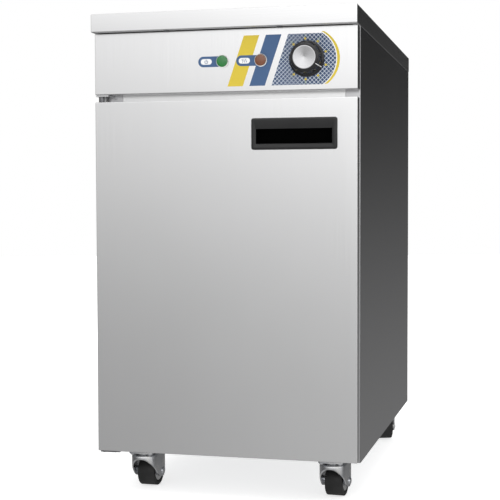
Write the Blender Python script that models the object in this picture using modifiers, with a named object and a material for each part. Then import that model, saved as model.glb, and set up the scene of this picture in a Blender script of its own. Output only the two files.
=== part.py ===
"""Heated UV sterilizer cabinet on casters, as an assembly of separate pieces.

Metres, +Z up, the front faces -Y. The origin is on the floor, in the middle of the footprint.
Depths are measured from the worktop's front edge and turned into Y by depth().
"""
import math

import bmesh
import bpy
from mathutils import Matrix, Vector

MM = 0.001
GAP = 0.3 * MM                      # clearance between pieces that touch

# ---- driving dimensions -------------------------------------------------------------------
WIDTH = 450 * MM                    # worktop, side to side
DEPTH = 600 * MM                    # worktop, front to back
HEIGHT = 802 * MM                   # floor to worktop
WORKTOP_THICK = 30 * MM
WORKTOP_SHEET = 1.2 * MM
BODY_WIDTH = 449 * MM
BODY_FRONT = 33 * MM                # depth of the body's front face
BODY_BOTTOM = 66.5 * MM
BODY_TOP = HEIGHT - WORKTOP_THICK - GAP
SHEET = 1.0 * MM
BODY_BEND = 2.5 * MM                # outer radius of the side panels' folds
LEFT_FLANGE = 42 * MM               # front returns of the side panels
RIGHT_FLANGE = 25 * MM
REAR_FLANGE = 14 * MM

FACE_WIDTH = 447 * MM               # control panel and door
FACE_FRONT = 12 * MM
PANEL_BOTTOM = 670 * MM
DOOR_TOP = 658 * MM
DOOR_BOTTOM = 70.5 * MM
DOOR_BACK = 29 * MM
DOOR_LINER_BACK = DOOR_BACK + GAP + SHEET

CHAMBER_HALF = 172 * MM
CHAMBER_FLOOR = 112 * MM
CHAMBER_CEILING = 630 * MM
CHAMBER_BACK = 560 * MM
LINER_FRONT = BODY_FRONT + SHEET + GAP
BASE_FRONT = BODY_FRONT + BODY_BEND + GAP
INSULATION_TOP = 651 * MM

CONTROL_Z = 719.5 * MM
KNOB_X = 141 * MM
KNOB_FACE = -9.3 * MM               # depth of the knob's cap, in front of the worktop
KNOB_RADIUS = 29 * MM
KNOB_CAP_RADIUS = 18.7 * MM
POWER_LAMP_X = 0.0
HEAT_LAMP_X = 64.6 * MM
LAMP_RADIUS = 10.3 * MM
LAMP_LENS_RADIUS = 8.4 * MM

HANDLE_LOW = (48.1 * MM, 575.3 * MM)      # outer corners of the handle's rim, X and Z
HANDLE_HIGH = (190.8 * MM, 626.6 * MM)
HANDLE_MOUTH_LOW = (56 * MM, 585 * MM)
HANDLE_MOUTH_HIGH = (182 * MM, 609 * MM)
HANDLE_RIM = 8.5 * MM                     # depth of the rim's face

PIVOT_X = -213.5 * MM
PIVOT_DEPTH = 17 * MM
PIVOT_RADIUS = 3.0 * MM
PIVOT_HOLE = 3.35 * MM

SHELF_LEDGES = (300 * MM, 450 * MM)
RACK_THICK = 1.2 * MM
LEDGE_WIDTH = 13 * MM
SHELF_HALF = 166 * MM
SHELF_FRONT = 90 * MM
SHELF_BACK = 530 * MM
RIM_WIRE = 2.5 * MM
GRID_WIRE = 1.6 * MM
GRID_WIRES = 12

LAMP_TUBE_HALF = 145 * MM
LAMP_TUBE_RADIUS = 8 * MM
LAMP_TUBE_Z = 600 * MM
LAMP_TUBE_DEPTH = 300 * MM

GLAND_X = 150 * MM
GLAND_Z = 705 * MM
GLAND_BACK = 609 * MM
GLAND_HOLE = 8.6 * MM

WHEEL_RADIUS = 25 * MM
WHEEL_HALF = 15 * MM
CASTER_TRAIL = 27 * MM
CASTER_OFFSET_X = 10 * MM           # all four casters sit this far towards the latch side
CASTER_SPAN = 330 * MM
CASTER_FRONT = 51 * MM
CASTER_REAR = 549 * MM
CASTER_PLATE_HALF = 21 * MM
CASTER_PLATE_THICK = 2.5 * MM
AXLE_RADIUS = 4.0 * MM
AXLE_HOLE = 4.4 * MM
FORK_GAP_HALF = 16.4 * MM
FORK_THICK = 2.0 * MM

MIDDLE = (GLAND_BACK + KNOB_FACE) / 2     # depth of the origin


def depth(value):
    """Y of a point that lies this deep behind the worktop's front edge."""
    return value - MIDDLE


def at(x, d, z):
    """World point from X, depth and Z."""
    return Vector((x, depth(d), z))


# ---- scene, collections and materials -----------------------------------------------------
for old in list(bpy.data.objects):
    bpy.data.objects.remove(old, do_unlink=True)

PARTS = bpy.data.collections.new("uv_sterilizer_cabinet")
CUTTERS = bpy.data.collections.new("cutters")
bpy.context.scene.collection.children.link(PARTS)
bpy.context.scene.collection.children.link(CUTTERS)

FINISHES = {                        # colour, roughness, metallic
    "brushed_steel": ((0.72, 0.72, 0.73), 0.32, 1.0),
    "dark_steel": ((0.30, 0.30, 0.31), 0.38, 1.0),
    "galvanised": ((0.62, 0.64, 0.66), 0.45, 1.0),
    "zinc": ((0.70, 0.71, 0.73), 0.25, 1.0),
    "white_enamel": ((0.93, 0.93, 0.93), 0.30, 0.0),
    "black_plastic": ((0.03, 0.03, 0.03), 0.42, 0.0),
    "white_plastic": ((0.85, 0.85, 0.83), 0.45, 0.0),
    "silver_cap": ((0.80, 0.80, 0.82), 0.25, 1.0),
    "green_lens": ((0.05, 0.45, 0.12), 0.15, 0.0),
    "amber_lens": ((0.45, 0.16, 0.06), 0.15, 0.0),
    "tyre_rubber": ((0.02, 0.02, 0.02), 0.60, 0.0),
    "gasket_rubber": ((0.10, 0.10, 0.10), 0.70, 0.0),
    "glass_wool": ((0.80, 0.72, 0.42), 0.95, 0.0),
    "quartz_glass": ((0.80, 0.86, 0.92), 0.08, 0.0),
    "ferrite": ((0.06, 0.06, 0.06), 0.55, 0.0),
}


def make_material(name):
    colour, roughness, metallic = FINISHES[name]
    material = bpy.data.materials.new(name)
    material.use_nodes = True
    shader = material.node_tree.nodes["Principled BSDF"]
    shader.inputs["Base Color"].default_value = (*colour, 1.0)
    shader.inputs["Roughness"].default_value = roughness
    shader.inputs["Metallic"].default_value = metallic
    material.diffuse_color = (*colour, 1.0)
    return material


MATERIALS = {name: make_material(name) for name in FINISHES}


# ---- object helpers -----------------------------------------------------------------------
def new_object(name, mesh, material=None, location=(0, 0, 0)):
    """Links a mesh as a part, or as a cutter when it has no material."""
    item = bpy.data.objects.new(name, mesh)
    item.location = location
    if material is None:
        CUTTERS.objects.link(item)
        item.hide_render = True
        item.display_type = "WIRE"
    else:
        PARTS.objects.link(item)
        mesh.materials.append(MATERIALS[material])
    return item


def mesh_from(bm, name):
    mesh = bpy.data.meshes.new(name)
    bm.to_mesh(mesh)
    bm.free()
    return mesh


def cube_bmesh(low, high):
    """Box between two world corners, centred on its own origin, and where that origin goes."""
    size = high - low
    bm = bmesh.new()
    bmesh.ops.create_cube(bm, size=1.0)
    bmesh.ops.scale(bm, vec=size, verts=bm.verts)
    return bm, (low + high) / 2


def box(name, low, high, material=None, bevel=0.0):
    bm, centre = cube_bmesh(low, high)
    item = new_object(name, mesh_from(bm, name), material, centre)
    if bevel:
        add_bevel(item, bevel)
    return item


def add_bevel(item, width, segments=2):
    modifier = item.modifiers.new("rounded_edges", "BEVEL")
    modifier.width = width
    modifier.segments = segments
    modifier.limit_method = "ANGLE"
    modifier.angle_limit = math.radians(40)


def add_thickness(item, thickness, offset):
    modifier = item.modifiers.new("sheet_thickness", "SOLIDIFY")
    modifier.thickness = thickness
    modifier.offset = offset
    modifier.use_even_offset = True


def combine(item, other, operation="DIFFERENCE"):
    """Boolean of a part with a cutter object."""
    modifier = item.modifiers.new(operation.lower(), "BOOLEAN")
    modifier.operation = operation
    modifier.solver = "EXACT"
    modifier.object = other


def tray(name, low, high, open_side, material, thickness=SHEET, lip=0.0, bend=1.5 * MM):
    """Folded sheet box with one open side, and an inward lip round that side if it has one."""
    bm, centre = cube_bmesh(low, high)
    opening = max(bm.faces, key=lambda face: face.calc_center_median().dot(Vector(open_side)))
    if lip:
        bmesh.ops.inset_region(bm, faces=[opening], thickness=lip)
    bmesh.ops.delete(bm, geom=[opening], context="FACES_ONLY")
    item = new_object(name, mesh_from(bm, name), material, centre)
    add_bevel(item, bend)
    add_thickness(item, thickness, -1.0)
    return item


def folded_sheet(name, outline, axis, start, end, material, thickness=SHEET, bend=1.0 * MM,
                 outward=False):
    """Open strip through the outline's points, swept along an axis, thickened towards the
    inside of the bend or outward.

    The outline holds (a, b) pairs on the plane across the axis: (X, depth) for Z,
    (X, Z) for Y and (depth, Z) for X.
    """
    bm = bmesh.new()
    verts = [bm.verts.new(plane_point(axis, pair, start)) for pair in outline]
    edges = [bm.edges.new(pair) for pair in zip(verts, verts[1:])]
    swept = bmesh.ops.extrude_edge_only(bm, edges=edges)
    moved = [part for part in swept["geom"] if isinstance(part, bmesh.types.BMVert)]
    travel = plane_point(axis, outline[0], end) - plane_point(axis, outline[0], start)
    bmesh.ops.translate(bm, vec=travel, verts=moved)
    bm.normal_update()
    middle = sum((vert.co for vert in bm.verts), Vector()) / len(bm.verts)
    inverted = [face for face in bm.faces
                if face.normal.dot(face.calc_center_median() - middle) < 0]
    bmesh.ops.reverse_faces(bm, faces=inverted)
    item = new_object(name, mesh_from(bm, name), material)
    add_bevel(item, bend)
    add_thickness(item, thickness, 1.0 if outward else -1.0)
    return item


def plane_point(axis, pair, along):
    if axis == "Z":
        return at(pair[0], pair[1], along)
    if axis == "Y":
        return at(pair[0], along, pair[1])
    return at(along, pair[0], pair[1])


def turned(name, profile, steps, material, origin, direction):
    """Solid of revolution. The closed profile holds (radius, height) pairs."""
    bm = bmesh.new()
    verts = [bm.verts.new((radius, 0, height)) for radius, height in profile]
    for first, second in zip(verts, verts[1:]):
        bm.edges.new((first, second))
    if profile[0][0] > 0:
        bm.edges.new((verts[-1], verts[0]))
    item = new_object(name, mesh_from(bm, name), material, origin)
    item.rotation_mode = "QUATERNION"
    item.rotation_quaternion = Vector((0, 0, 1)).rotation_difference(Vector(direction))
    modifier = item.modifiers.new("turned", "SCREW")
    modifier.steps = steps
    modifier.render_steps = steps
    modifier.use_merge_vertices = True
    modifier.merge_threshold = 0.00001
    modifier.use_smooth_shade = False
    return item


def bored_profile(bore, outer):
    """Closed ring profile: the outer side runs down from the top, the bore back up."""
    return list(outer) + [(bore, outer[-1][1]), (bore, outer[0][1])]


def rod(name, start, end, radius, material=None, sides=16):
    """Plain cylinder between two world points."""
    span = end - start
    bm = bmesh.new()
    bmesh.ops.create_cone(bm, cap_ends=True, segments=sides, radius1=radius, radius2=radius,
                          depth=span.length)
    turn = Vector((0, 0, 1)).rotation_difference(span.normalized()).to_matrix().to_4x4()
    bmesh.ops.transform(bm, matrix=turn, verts=bm.verts)
    return new_object(name, mesh_from(bm, name), material, (start + end) / 2)


def slots(name, first, step, count, size):
    """One cutter made of equal boxes in a row."""
    bm = bmesh.new()
    for index in range(count):
        made = bmesh.ops.create_cube(bm, size=1.0)["verts"]
        bmesh.ops.scale(bm, vec=size, verts=made)
        bmesh.ops.translate(bm, vec=first + step * index, verts=made)
    return new_object(name, mesh_from(bm, name))


def curve_to_mesh(item, name, material=None):
    """Closed mesh with the curve's shape and place, its loose caps welded on."""
    bpy.context.view_layer.update()
    evaluated = item.evaluated_get(bpy.context.evaluated_depsgraph_get())
    mesh = bpy.data.meshes.new_from_object(evaluated)
    mesh.materials.clear()
    bm = bmesh.new()
    bm.from_mesh(mesh)
    bmesh.ops.remove_doubles(bm, verts=bm.verts, dist=0.00001)
    bmesh.ops.recalc_face_normals(bm, faces=bm.faces)
    bm.to_mesh(mesh)
    bm.free()
    place = item.matrix_world.copy()
    bpy.data.objects.remove(item, do_unlink=True)
    made = new_object(name, mesh, material)
    made.matrix_world = place
    return made


def bent_tube(name, points, radius, material=None, cyclic=False):
    """Round wire or tube through world points, as a closed mesh."""
    data = bpy.data.curves.new(name, "CURVE")
    data.dimensions = "3D"
    data.bevel_depth = radius
    data.bevel_resolution = 2
    data.use_fill_caps = True
    spline = data.splines.new("POLY")
    spline.points.add(len(points) - 1)
    spline.use_cyclic_u = cyclic
    for point, place in zip(spline.points, points):
        point.co = (*place, 1.0)
    item = bpy.data.objects.new(name + "_path", data)
    CUTTERS.objects.link(item)
    return curve_to_mesh(item, name, material)


def flat_outline(name, outline, thickness, place, material=None):
    """Plate cut to a closed outline of (a, b) pairs, half its thickness on either side of
    the plane that place puts it on."""
    data = bpy.data.curves.new(name, "CURVE")
    data.dimensions = "2D"
    data.fill_mode = "BOTH"
    data.extrude = thickness / 2
    spline = data.splines.new("POLY")
    spline.points.add(len(outline) - 1)
    spline.use_cyclic_u = True
    for point, (a, b) in zip(spline.points, outline):
        point.co = (a, b, 0.0, 1.0)
    item = bpy.data.objects.new(name + "_outline", data)
    CUTTERS.objects.link(item)
    item.matrix_world = place
    return curve_to_mesh(item, name, material)


def arc(centre, radius, start, end, steps):
    """Points on a circular arc, angles in degrees, both ends included."""
    angles = [math.radians(start + (end - start) * index / steps) for index in range(steps + 1)]
    return [(centre[0] + radius * math.cos(a), centre[1] + radius * math.sin(a)) for a in angles]


# ---- body shell ---------------------------------------------------------------------------
def make_worktop():
    half = WIDTH / 2
    under = HEIGHT - WORKTOP_THICK
    tray("worktop", at(-half, 0, under), at(half, DEPTH, HEIGHT), (0, 0, -1), "brushed_steel",
         thickness=WORKTOP_SHEET, lip=14 * MM)


def make_side_panels():
    half = BODY_WIDTH / 2
    for side, name, flange in ((-1, "left_side_panel", LEFT_FLANGE),
                               (1, "right_side_panel", RIGHT_FLANGE)):
        outline = [(side * (half - flange), BODY_FRONT), (side * half, BODY_FRONT),
                   (side * half, DEPTH), (side * (half - REAR_FLANGE), DEPTH)]
        folded_sheet(name, outline, "Z", BODY_BOTTOM, BODY_TOP, "dark_steel",
                     bend=BODY_BEND)


def make_back_panel():
    half = BODY_WIDTH / 2 - BODY_BEND
    back = DEPTH - SHEET - GAP
    item = box("back_panel", at(-half, back - SHEET, BODY_BOTTOM + WORKTOP_SHEET + GAP),
               at(half, back, BODY_TOP - GAP), "dark_steel")
    vent_size = Vector((5 * MM, 10 * MM, 46 * MM))
    first = at(-120 * MM, back, CONTROL_Z)
    combine(item, slots("vent_cutter", first, Vector((16 * MM, 0, 0)), 11, vent_size))
    combine(item, rod("gland_cutter", at(GLAND_X, back - 5 * MM, GLAND_Z),
                      at(GLAND_X, back + 5 * MM, GLAND_Z), GLAND_HOLE))


def make_base_panel():
    half = BODY_WIDTH / 2 - SHEET - GAP
    tray("base_panel", at(-half, BASE_FRONT, BODY_BOTTOM),
         at(half, DEPTH - 2 * SHEET - 2 * GAP, BODY_BOTTOM + 14 * MM), (0, 0, 1), "galvanised",
         thickness=WORKTOP_SHEET)


def make_front_frame():
    half = BODY_WIDTH / 2
    item = box("front_frame", at(-half + LEFT_FLANGE + GAP, BODY_FRONT, BODY_BOTTOM),
               at(half - RIGHT_FLANGE - GAP, BODY_FRONT + SHEET, BODY_TOP), "brushed_steel")
    through = (BODY_FRONT - 5 * MM, BODY_FRONT + 6 * MM)
    chamber = box("chamber_cutter", at(-CHAMBER_HALF, through[0], CHAMBER_FLOOR),
                  at(CHAMBER_HALF, through[1], CHAMBER_CEILING))
    controls = box("controls_cutter", at(-40 * MM, through[0], 690 * MM),
                   at(182 * MM, through[1], 752 * MM))
    combine(item, chamber)
    combine(item, controls)


def make_liner():
    """Chamber walls: one sheet folded round the sides and back, a ceiling and a floor."""
    wide = CHAMBER_HALF + SHEET
    front, back = LINER_FRONT, CHAMBER_BACK
    outline = [(-CHAMBER_HALF, front), (-CHAMBER_HALF, back), (CHAMBER_HALF, back),
               (CHAMBER_HALF, front)]
    folded_sheet("liner_walls", outline, "Z", CHAMBER_FLOOR + GAP, CHAMBER_CEILING - GAP,
                 "brushed_steel", outward=True)
    box("liner_ceiling", at(-wide, front, CHAMBER_CEILING),
        at(wide, back + SHEET, CHAMBER_CEILING + SHEET), "brushed_steel")
    box("liner_floor", at(-wide, front, CHAMBER_FLOOR - SHEET),
        at(wide, back + SHEET, CHAMBER_FLOOR), "brushed_steel")


def make_insulation():
    """Wool blanket wrapped round the liner: sides, back, top and bottom, open at the front."""
    half = BODY_WIDTH / 2 - 2.8 * MM
    item = box("insulation", at(-half, BASE_FRONT + WORKTOP_SHEET + GAP, BODY_BOTTOM + 1.5 * MM),
               at(half, DEPTH - 4.1 * MM, INSULATION_TOP), "glass_wool", bevel=3 * MM)
    inner = CHAMBER_HALF + SHEET + GAP
    combine(item, box("liner_cutter", at(-inner, 0, CHAMBER_FLOOR - SHEET - GAP),
                      at(inner, CHAMBER_BACK + SHEET + GAP, CHAMBER_CEILING + SHEET + GAP)))


# ---- controls -----------------------------------------------------------------------------
def make_control_panel():
    half = FACE_WIDTH / 2
    item = tray("control_panel", at(-half, FACE_FRONT, PANEL_BOTTOM),
                at(half, BODY_FRONT - GAP, BODY_TOP), (0, 1, 0), "white_enamel")
    for name, x, radius in (("spindle", KNOB_X, 5 * MM), ("power_lamp", POWER_LAMP_X, 7.5 * MM),
                            ("heat_lamp", HEAT_LAMP_X, 7.5 * MM)):
        combine(item, rod(name + "_hole_cutter", at(x, FACE_FRONT - 5 * MM, CONTROL_Z),
                          at(x, FACE_FRONT + 5 * MM, CONTROL_Z), radius))


def make_lamp(name, x, lens_finish):
    """Panel lamp: a barrel with a rim, and a domed lens in the rim's recess."""
    recess = LAMP_LENS_RADIUS + GAP
    rim_back = FACE_FRONT - GAP
    rim = [(0, 1.2 * MM), (recess, 1.2 * MM), (recess, 3 * MM), (LAMP_RADIUS - 0.6 * MM, 3 * MM),
           (LAMP_RADIUS, 2.2 * MM), (LAMP_RADIUS, 0), (7.2 * MM, 0), (7.2 * MM, -26 * MM),
           (0, -26 * MM)]
    turned(name + "_housing", rim, 20, "black_plastic", at(x, rim_back, CONTROL_Z), (0, -1, 0))
    dome_height = 3.4 * MM
    base = 1.2 * MM + GAP
    sphere = (LAMP_LENS_RADIUS ** 2 + dome_height ** 2) / (2 * dome_height)
    spread = math.degrees(math.asin(LAMP_LENS_RADIUS / sphere))
    centre = (0, base + 1.5 * MM + dome_height - sphere)
    dome = arc(centre, sphere, 90, 90 - spread, 3)
    lens = [(max(radius, 0.0), height) for radius, height in dome]
    lens[0] = (0.0, lens[0][1])
    lens += [(LAMP_LENS_RADIUS, base), (0, base)]
    turned(name + "_lens", lens, 20, lens_finish, at(x, rim_back, CONTROL_Z), (0, -1, 0))


def make_thermostat_and_knob():
    front = FACE_FRONT + SHEET + GAP
    item = box("thermostat_body", at(KNOB_X - 20 * MM, front, CONTROL_Z - 22 * MM),
               at(KNOB_X + 20 * MM, front + 42 * MM, CONTROL_Z + 22 * MM), "white_plastic",
               bevel=2 * MM)
    socket_end = front + 9 * MM
    combine(item, rod("spindle_socket_cutter", at(KNOB_X, front - 5 * MM, CONTROL_Z),
                      at(KNOB_X, socket_end, CONTROL_Z), 3.4 * MM))
    rod("thermostat_spindle", at(KNOB_X, socket_end - 1 * MM, CONTROL_Z),
        at(KNOB_X, KNOB_FACE + 6 * MM, CONTROL_Z), 3.0 * MM, "zinc")

    back = FACE_FRONT - 0.8 * MM
    face = back - KNOB_FACE
    cap_seat = face - 1.6 * MM
    recess = KNOB_CAP_RADIUS + GAP
    socket_top = back - (KNOB_FACE + 5.5 * MM)
    knob = [(0, cap_seat), (recess, cap_seat), (recess, face - 0.4 * MM),
            (recess + 1.2 * MM, face - 0.4 * MM), (22.4 * MM, face - 2 * MM),
            (23.6 * MM, 5 * MM), (KNOB_RADIUS - 0.6 * MM, 3.6 * MM), (KNOB_RADIUS, 2.6 * MM),
            (KNOB_RADIUS, 0), (3.3 * MM, 0), (3.3 * MM, socket_top), (0, socket_top)]
    turned("knob_body", knob, 30, "black_plastic", at(KNOB_X, back, CONTROL_Z), (0, -1, 0))
    cap = [(0, face), (KNOB_CAP_RADIUS - 0.5 * MM, face), (KNOB_CAP_RADIUS, face - 0.4 * MM),
           (KNOB_CAP_RADIUS, cap_seat + GAP), (0, cap_seat + GAP)]
    turned("knob_cap", cap, 30, "silver_cap", at(KNOB_X, back, CONTROL_Z), (0, -1, 0))


# ---- inside the chamber -------------------------------------------------------------------
def make_heater():
    """Hairpin heating element in front of the back wall, under a slotted guard."""
    pitch, near, far, height = 40 * MM, 330 * MM, 480 * MM, 128 * MM
    bend = pitch / 2
    path = [(-1.5 * pitch, CHAMBER_BACK - 1 * MM)]
    for x, end, last_angle in ((-pitch, near, 360), (0.0, far, 0), (pitch, near, 360)):
        path += arc((x, end), bend, 180, last_angle, 8)
    path.append((1.5 * pitch, CHAMBER_BACK - 1 * MM))
    bent_tube("heating_element", [at(x, d, height) for x, d in path], 3.5 * MM, "dark_steel")

    item = tray("heater_guard", at(-110 * MM, 296 * MM, CHAMBER_FLOOR + GAP),
                at(110 * MM, 552 * MM, 146 * MM), (0, 0, -1), "brushed_steel")
    combine(item, box("element_exit_cutter", at(-80 * MM, 545 * MM, 100 * MM),
                      at(80 * MM, 556 * MM, 138 * MM)))
    first = at(-84 * MM, 424 * MM, 146 * MM)
    combine(item, slots("guard_slot_cutter", first, Vector((24 * MM, 0, 0)), 8,
                        Vector((8 * MM, 190 * MM, 10 * MM))))


def make_uv_lamp():
    tube = [(0, LAMP_TUBE_HALF), (LAMP_TUBE_RADIUS - 1 * MM, LAMP_TUBE_HALF),
            (LAMP_TUBE_RADIUS, LAMP_TUBE_HALF - 1 * MM),
            (LAMP_TUBE_RADIUS, -LAMP_TUBE_HALF + 1 * MM),
            (LAMP_TUBE_RADIUS - 1 * MM, -LAMP_TUBE_HALF), (0, -LAMP_TUBE_HALF)]
    turned("uv_tube", tube, 20, "quartz_glass", at(0, LAMP_TUBE_DEPTH, LAMP_TUBE_Z), (1, 0, 0))
    for side, name in ((-1, "lamp_holder_left"), (1, "lamp_holder_right")):
        inner = side * (LAMP_TUBE_HALF + GAP)
        outer = side * (LAMP_TUBE_HALF + 13 * MM)
        box(name, at(min(inner, outer), LAMP_TUBE_DEPTH - 12 * MM, LAMP_TUBE_Z - 12 * MM),
            at(max(inner, outer), LAMP_TUBE_DEPTH + 12 * MM, CHAMBER_CEILING - GAP),
            "white_plastic", bevel=2 * MM)
    rise = LAMP_TUBE_Z + 24 * MM
    outline = [(LAMP_TUBE_DEPTH + 40 * MM, LAMP_TUBE_Z + 6 * MM), (LAMP_TUBE_DEPTH + 22 * MM, rise),
               (LAMP_TUBE_DEPTH - 22 * MM, rise), (LAMP_TUBE_DEPTH - 40 * MM, LAMP_TUBE_Z + 6 * MM)]
    folded_sheet("lamp_reflector", outline, "X", -LAMP_TUBE_HALF + 3 * MM,
                 LAMP_TUBE_HALF - 3 * MM, "silver_cap", thickness=0.8 * MM)
    box("uv_ballast", at(-150 * MM, 300 * MM, INSULATION_TOP + GAP),
        at(10 * MM, 342 * MM, INSULATION_TOP + 30 * MM), "white_enamel", bevel=2 * MM)


def make_shelf_racks():
    """Pressed rack on each side wall, an upright sheet with a ledge for each shelf."""
    outer = CHAMBER_HALF - GAP
    inner = outer - RACK_THICK
    tip = inner - LEDGE_WIDTH
    length = 470 * MM
    middle = depth(70 * MM) + length / 2
    for side, name in ((-1, "shelf_rack_left"), (1, "shelf_rack_right")):
        outline = [(outer, 150 * MM), (outer, 600 * MM), (inner, 600 * MM)]
        for ledge in reversed(SHELF_LEDGES):
            outline += [(inner, ledge), (tip, ledge), (tip, ledge - 1.5 * MM),
                        (inner, ledge - 1.5 * MM)]
        outline.append((inner, 150 * MM))
        upright = Matrix.Rotation(math.radians(90), 4, "X")
        place = Matrix.Translation((0, middle, 0)) @ upright
        flat_outline(name, [(side * x, z) for x, z in outline], length, place, "brushed_steel")


def make_shelf(name, ledge):
    """Wire shelf: a rounded rim, wires from front to back, and two cross wires under them."""
    z = ledge + GAP + RIM_WIRE
    corner = 14 * MM
    half = SHELF_HALF - RIM_WIRE
    front, back = depth(SHELF_FRONT) + RIM_WIRE, depth(SHELF_BACK) - RIM_WIRE
    rim = []
    for x, y, start in ((half - corner, back - corner, 0), (-half + corner, back - corner, 90),
                        (-half + corner, front + corner, 180), (half - corner, front + corner, 270)):
        rim += arc((x, y), corner, start, start + 90, 3)
    shelf = bent_tube(name, [(x, y, z) for x, y in rim], RIM_WIRE, "zinc", cyclic=True)
    wires = bmesh.new()
    pitch = 2 * half / (GRID_WIRES + 1)
    for index in range(GRID_WIRES):
        x = -half + pitch * (index + 1)
        made = bmesh.ops.create_cone(wires, cap_ends=True, segments=6, radius1=GRID_WIRE,
                                     radius2=GRID_WIRE, depth=back - front)["verts"]
        turn = Matrix.Translation((x, (front + back) / 2, z + 0.5 * MM))
        bmesh.ops.transform(wires, matrix=turn @ Matrix.Rotation(math.radians(90), 4, "X"),
                            verts=made)
    combine(shelf, new_object(name + "_wires", mesh_from(wires, name + "_wires")), "UNION")
    for index, share in enumerate((1 / 3, 2 / 3)):
        y = front + (back - front) * share
        cross = rod(f"{name}_cross_{index}", Vector((-half, y, z - 0.8 * MM)),
                    Vector((half, y, z - 0.8 * MM)), RIM_WIRE * 0.68, sides=6)
        combine(shelf, cross, "UNION")


def make_latches():
    """Magnetic catch on the right wall, and the lamp's door switch under the ceiling."""
    nose = DOOR_LINER_BACK + GAP
    box("catch_magnet", at(158 * MM, 36 * MM, 350 * MM), at(CHAMBER_HALF - GAP, 60 * MM, 400 * MM),
        "black_plastic", bevel=1 * MM)
    box("catch_strike", at(157 * MM, nose, 356 * MM), at(171 * MM, 35.4 * MM, 394 * MM), "zinc",
        bevel=0.8 * MM)
    box("door_switch", at(-60 * MM, 36 * MM, 619 * MM), at(-20 * MM, 48 * MM, 629.7 * MM),
        "white_plastic", bevel=1 * MM)
    box("switch_magnet", at(-56 * MM, nose, 619.5 * MM), at(-24 * MM, 35.4 * MM, 628.5 * MM),
        "ferrite", bevel=0.8 * MM)


# ---- door ---------------------------------------------------------------------------------
def pivot_cutter(name):
    """Vertical hole on the door's pivot line, through every part of the door it is cut from."""
    return rod(name, at(PIVOT_X, PIVOT_DEPTH, DOOR_BOTTOM - 10 * MM),
               at(PIVOT_X, PIVOT_DEPTH, DOOR_TOP + 13 * MM), PIVOT_HOLE)


def make_door():
    half = FACE_WIDTH / 2
    skin = tray("door_outer_skin", at(-half, FACE_FRONT, DOOR_BOTTOM),
                at(half, DOOR_BACK, DOOR_TOP), (0, 1, 0), "brushed_steel", lip=9 * MM)
    slack = 0.6 * MM
    cup_low = (HANDLE_LOW[0] + 2.9 * MM, HANDLE_LOW[1] + 2.7 * MM)
    cup_high = (HANDLE_HIGH[0] - 2.9 * MM, HANDLE_HIGH[1] - 2.7 * MM)
    window = box("handle_window_cutter", at(cup_low[0] - slack, 5 * MM, cup_low[1] - slack),
                 at(cup_high[0] + slack, 35 * MM, cup_high[1] + slack))
    combine(skin, window)
    combine(skin, pivot_cutter("skin_pivot_cutter"))

    inside = SHEET + GAP
    core = box("door_insulation", at(-half + inside, FACE_FRONT + inside, DOOR_BOTTOM + inside),
               at(half - inside, DOOR_BACK - inside, DOOR_TOP - inside), "glass_wool",
               bevel=2.5 * MM)
    combine(core, window)
    combine(core, pivot_cutter("core_pivot_cutter"))

    box("door_inner_skin", at(-214 * MM, DOOR_BACK + GAP, 80 * MM),
        at(214 * MM, DOOR_LINER_BACK, 649 * MM), "brushed_steel")
    gasket = box("door_gasket", at(-212 * MM, DOOR_LINER_BACK + GAP, 84 * MM),
                 at(212 * MM, BODY_FRONT - GAP, 645 * MM), "gasket_rubber")
    combine(gasket, box("gasket_cutter", at(-202 * MM, 25 * MM, 94 * MM),
                        at(202 * MM, 40 * MM, 635 * MM)))

    cup_back = DOOR_BACK - inside - GAP
    rim_back = FACE_FRONT - GAP
    handle = box("handle_cup", at(HANDLE_LOW[0], HANDLE_RIM, HANDLE_LOW[1]),
                 at(HANDLE_HIGH[0], rim_back, HANDLE_HIGH[1]), "black_plastic", bevel=1.8 * MM)
    cup = box("cup_body", at(cup_low[0], rim_back - 0.6 * MM, cup_low[1]),
              at(cup_high[0], cup_back, cup_high[1]))
    combine(handle, cup, "UNION")
    wall = 2 * MM
    combine(handle, box("cup_cavity_cutter", at(cup_low[0] + wall, rim_back + 1 * MM, 580.5 * MM),
                        at(cup_high[0] - wall, cup_back - 1.5 * MM, cup_high[1] - wall)))
    combine(handle, box("cup_mouth_cutter", at(HANDLE_MOUTH_LOW[0], 0, HANDLE_MOUTH_LOW[1]),
                        at(HANDLE_MOUTH_HIGH[0], 20 * MM, HANDLE_MOUTH_HIGH[1])))


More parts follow.
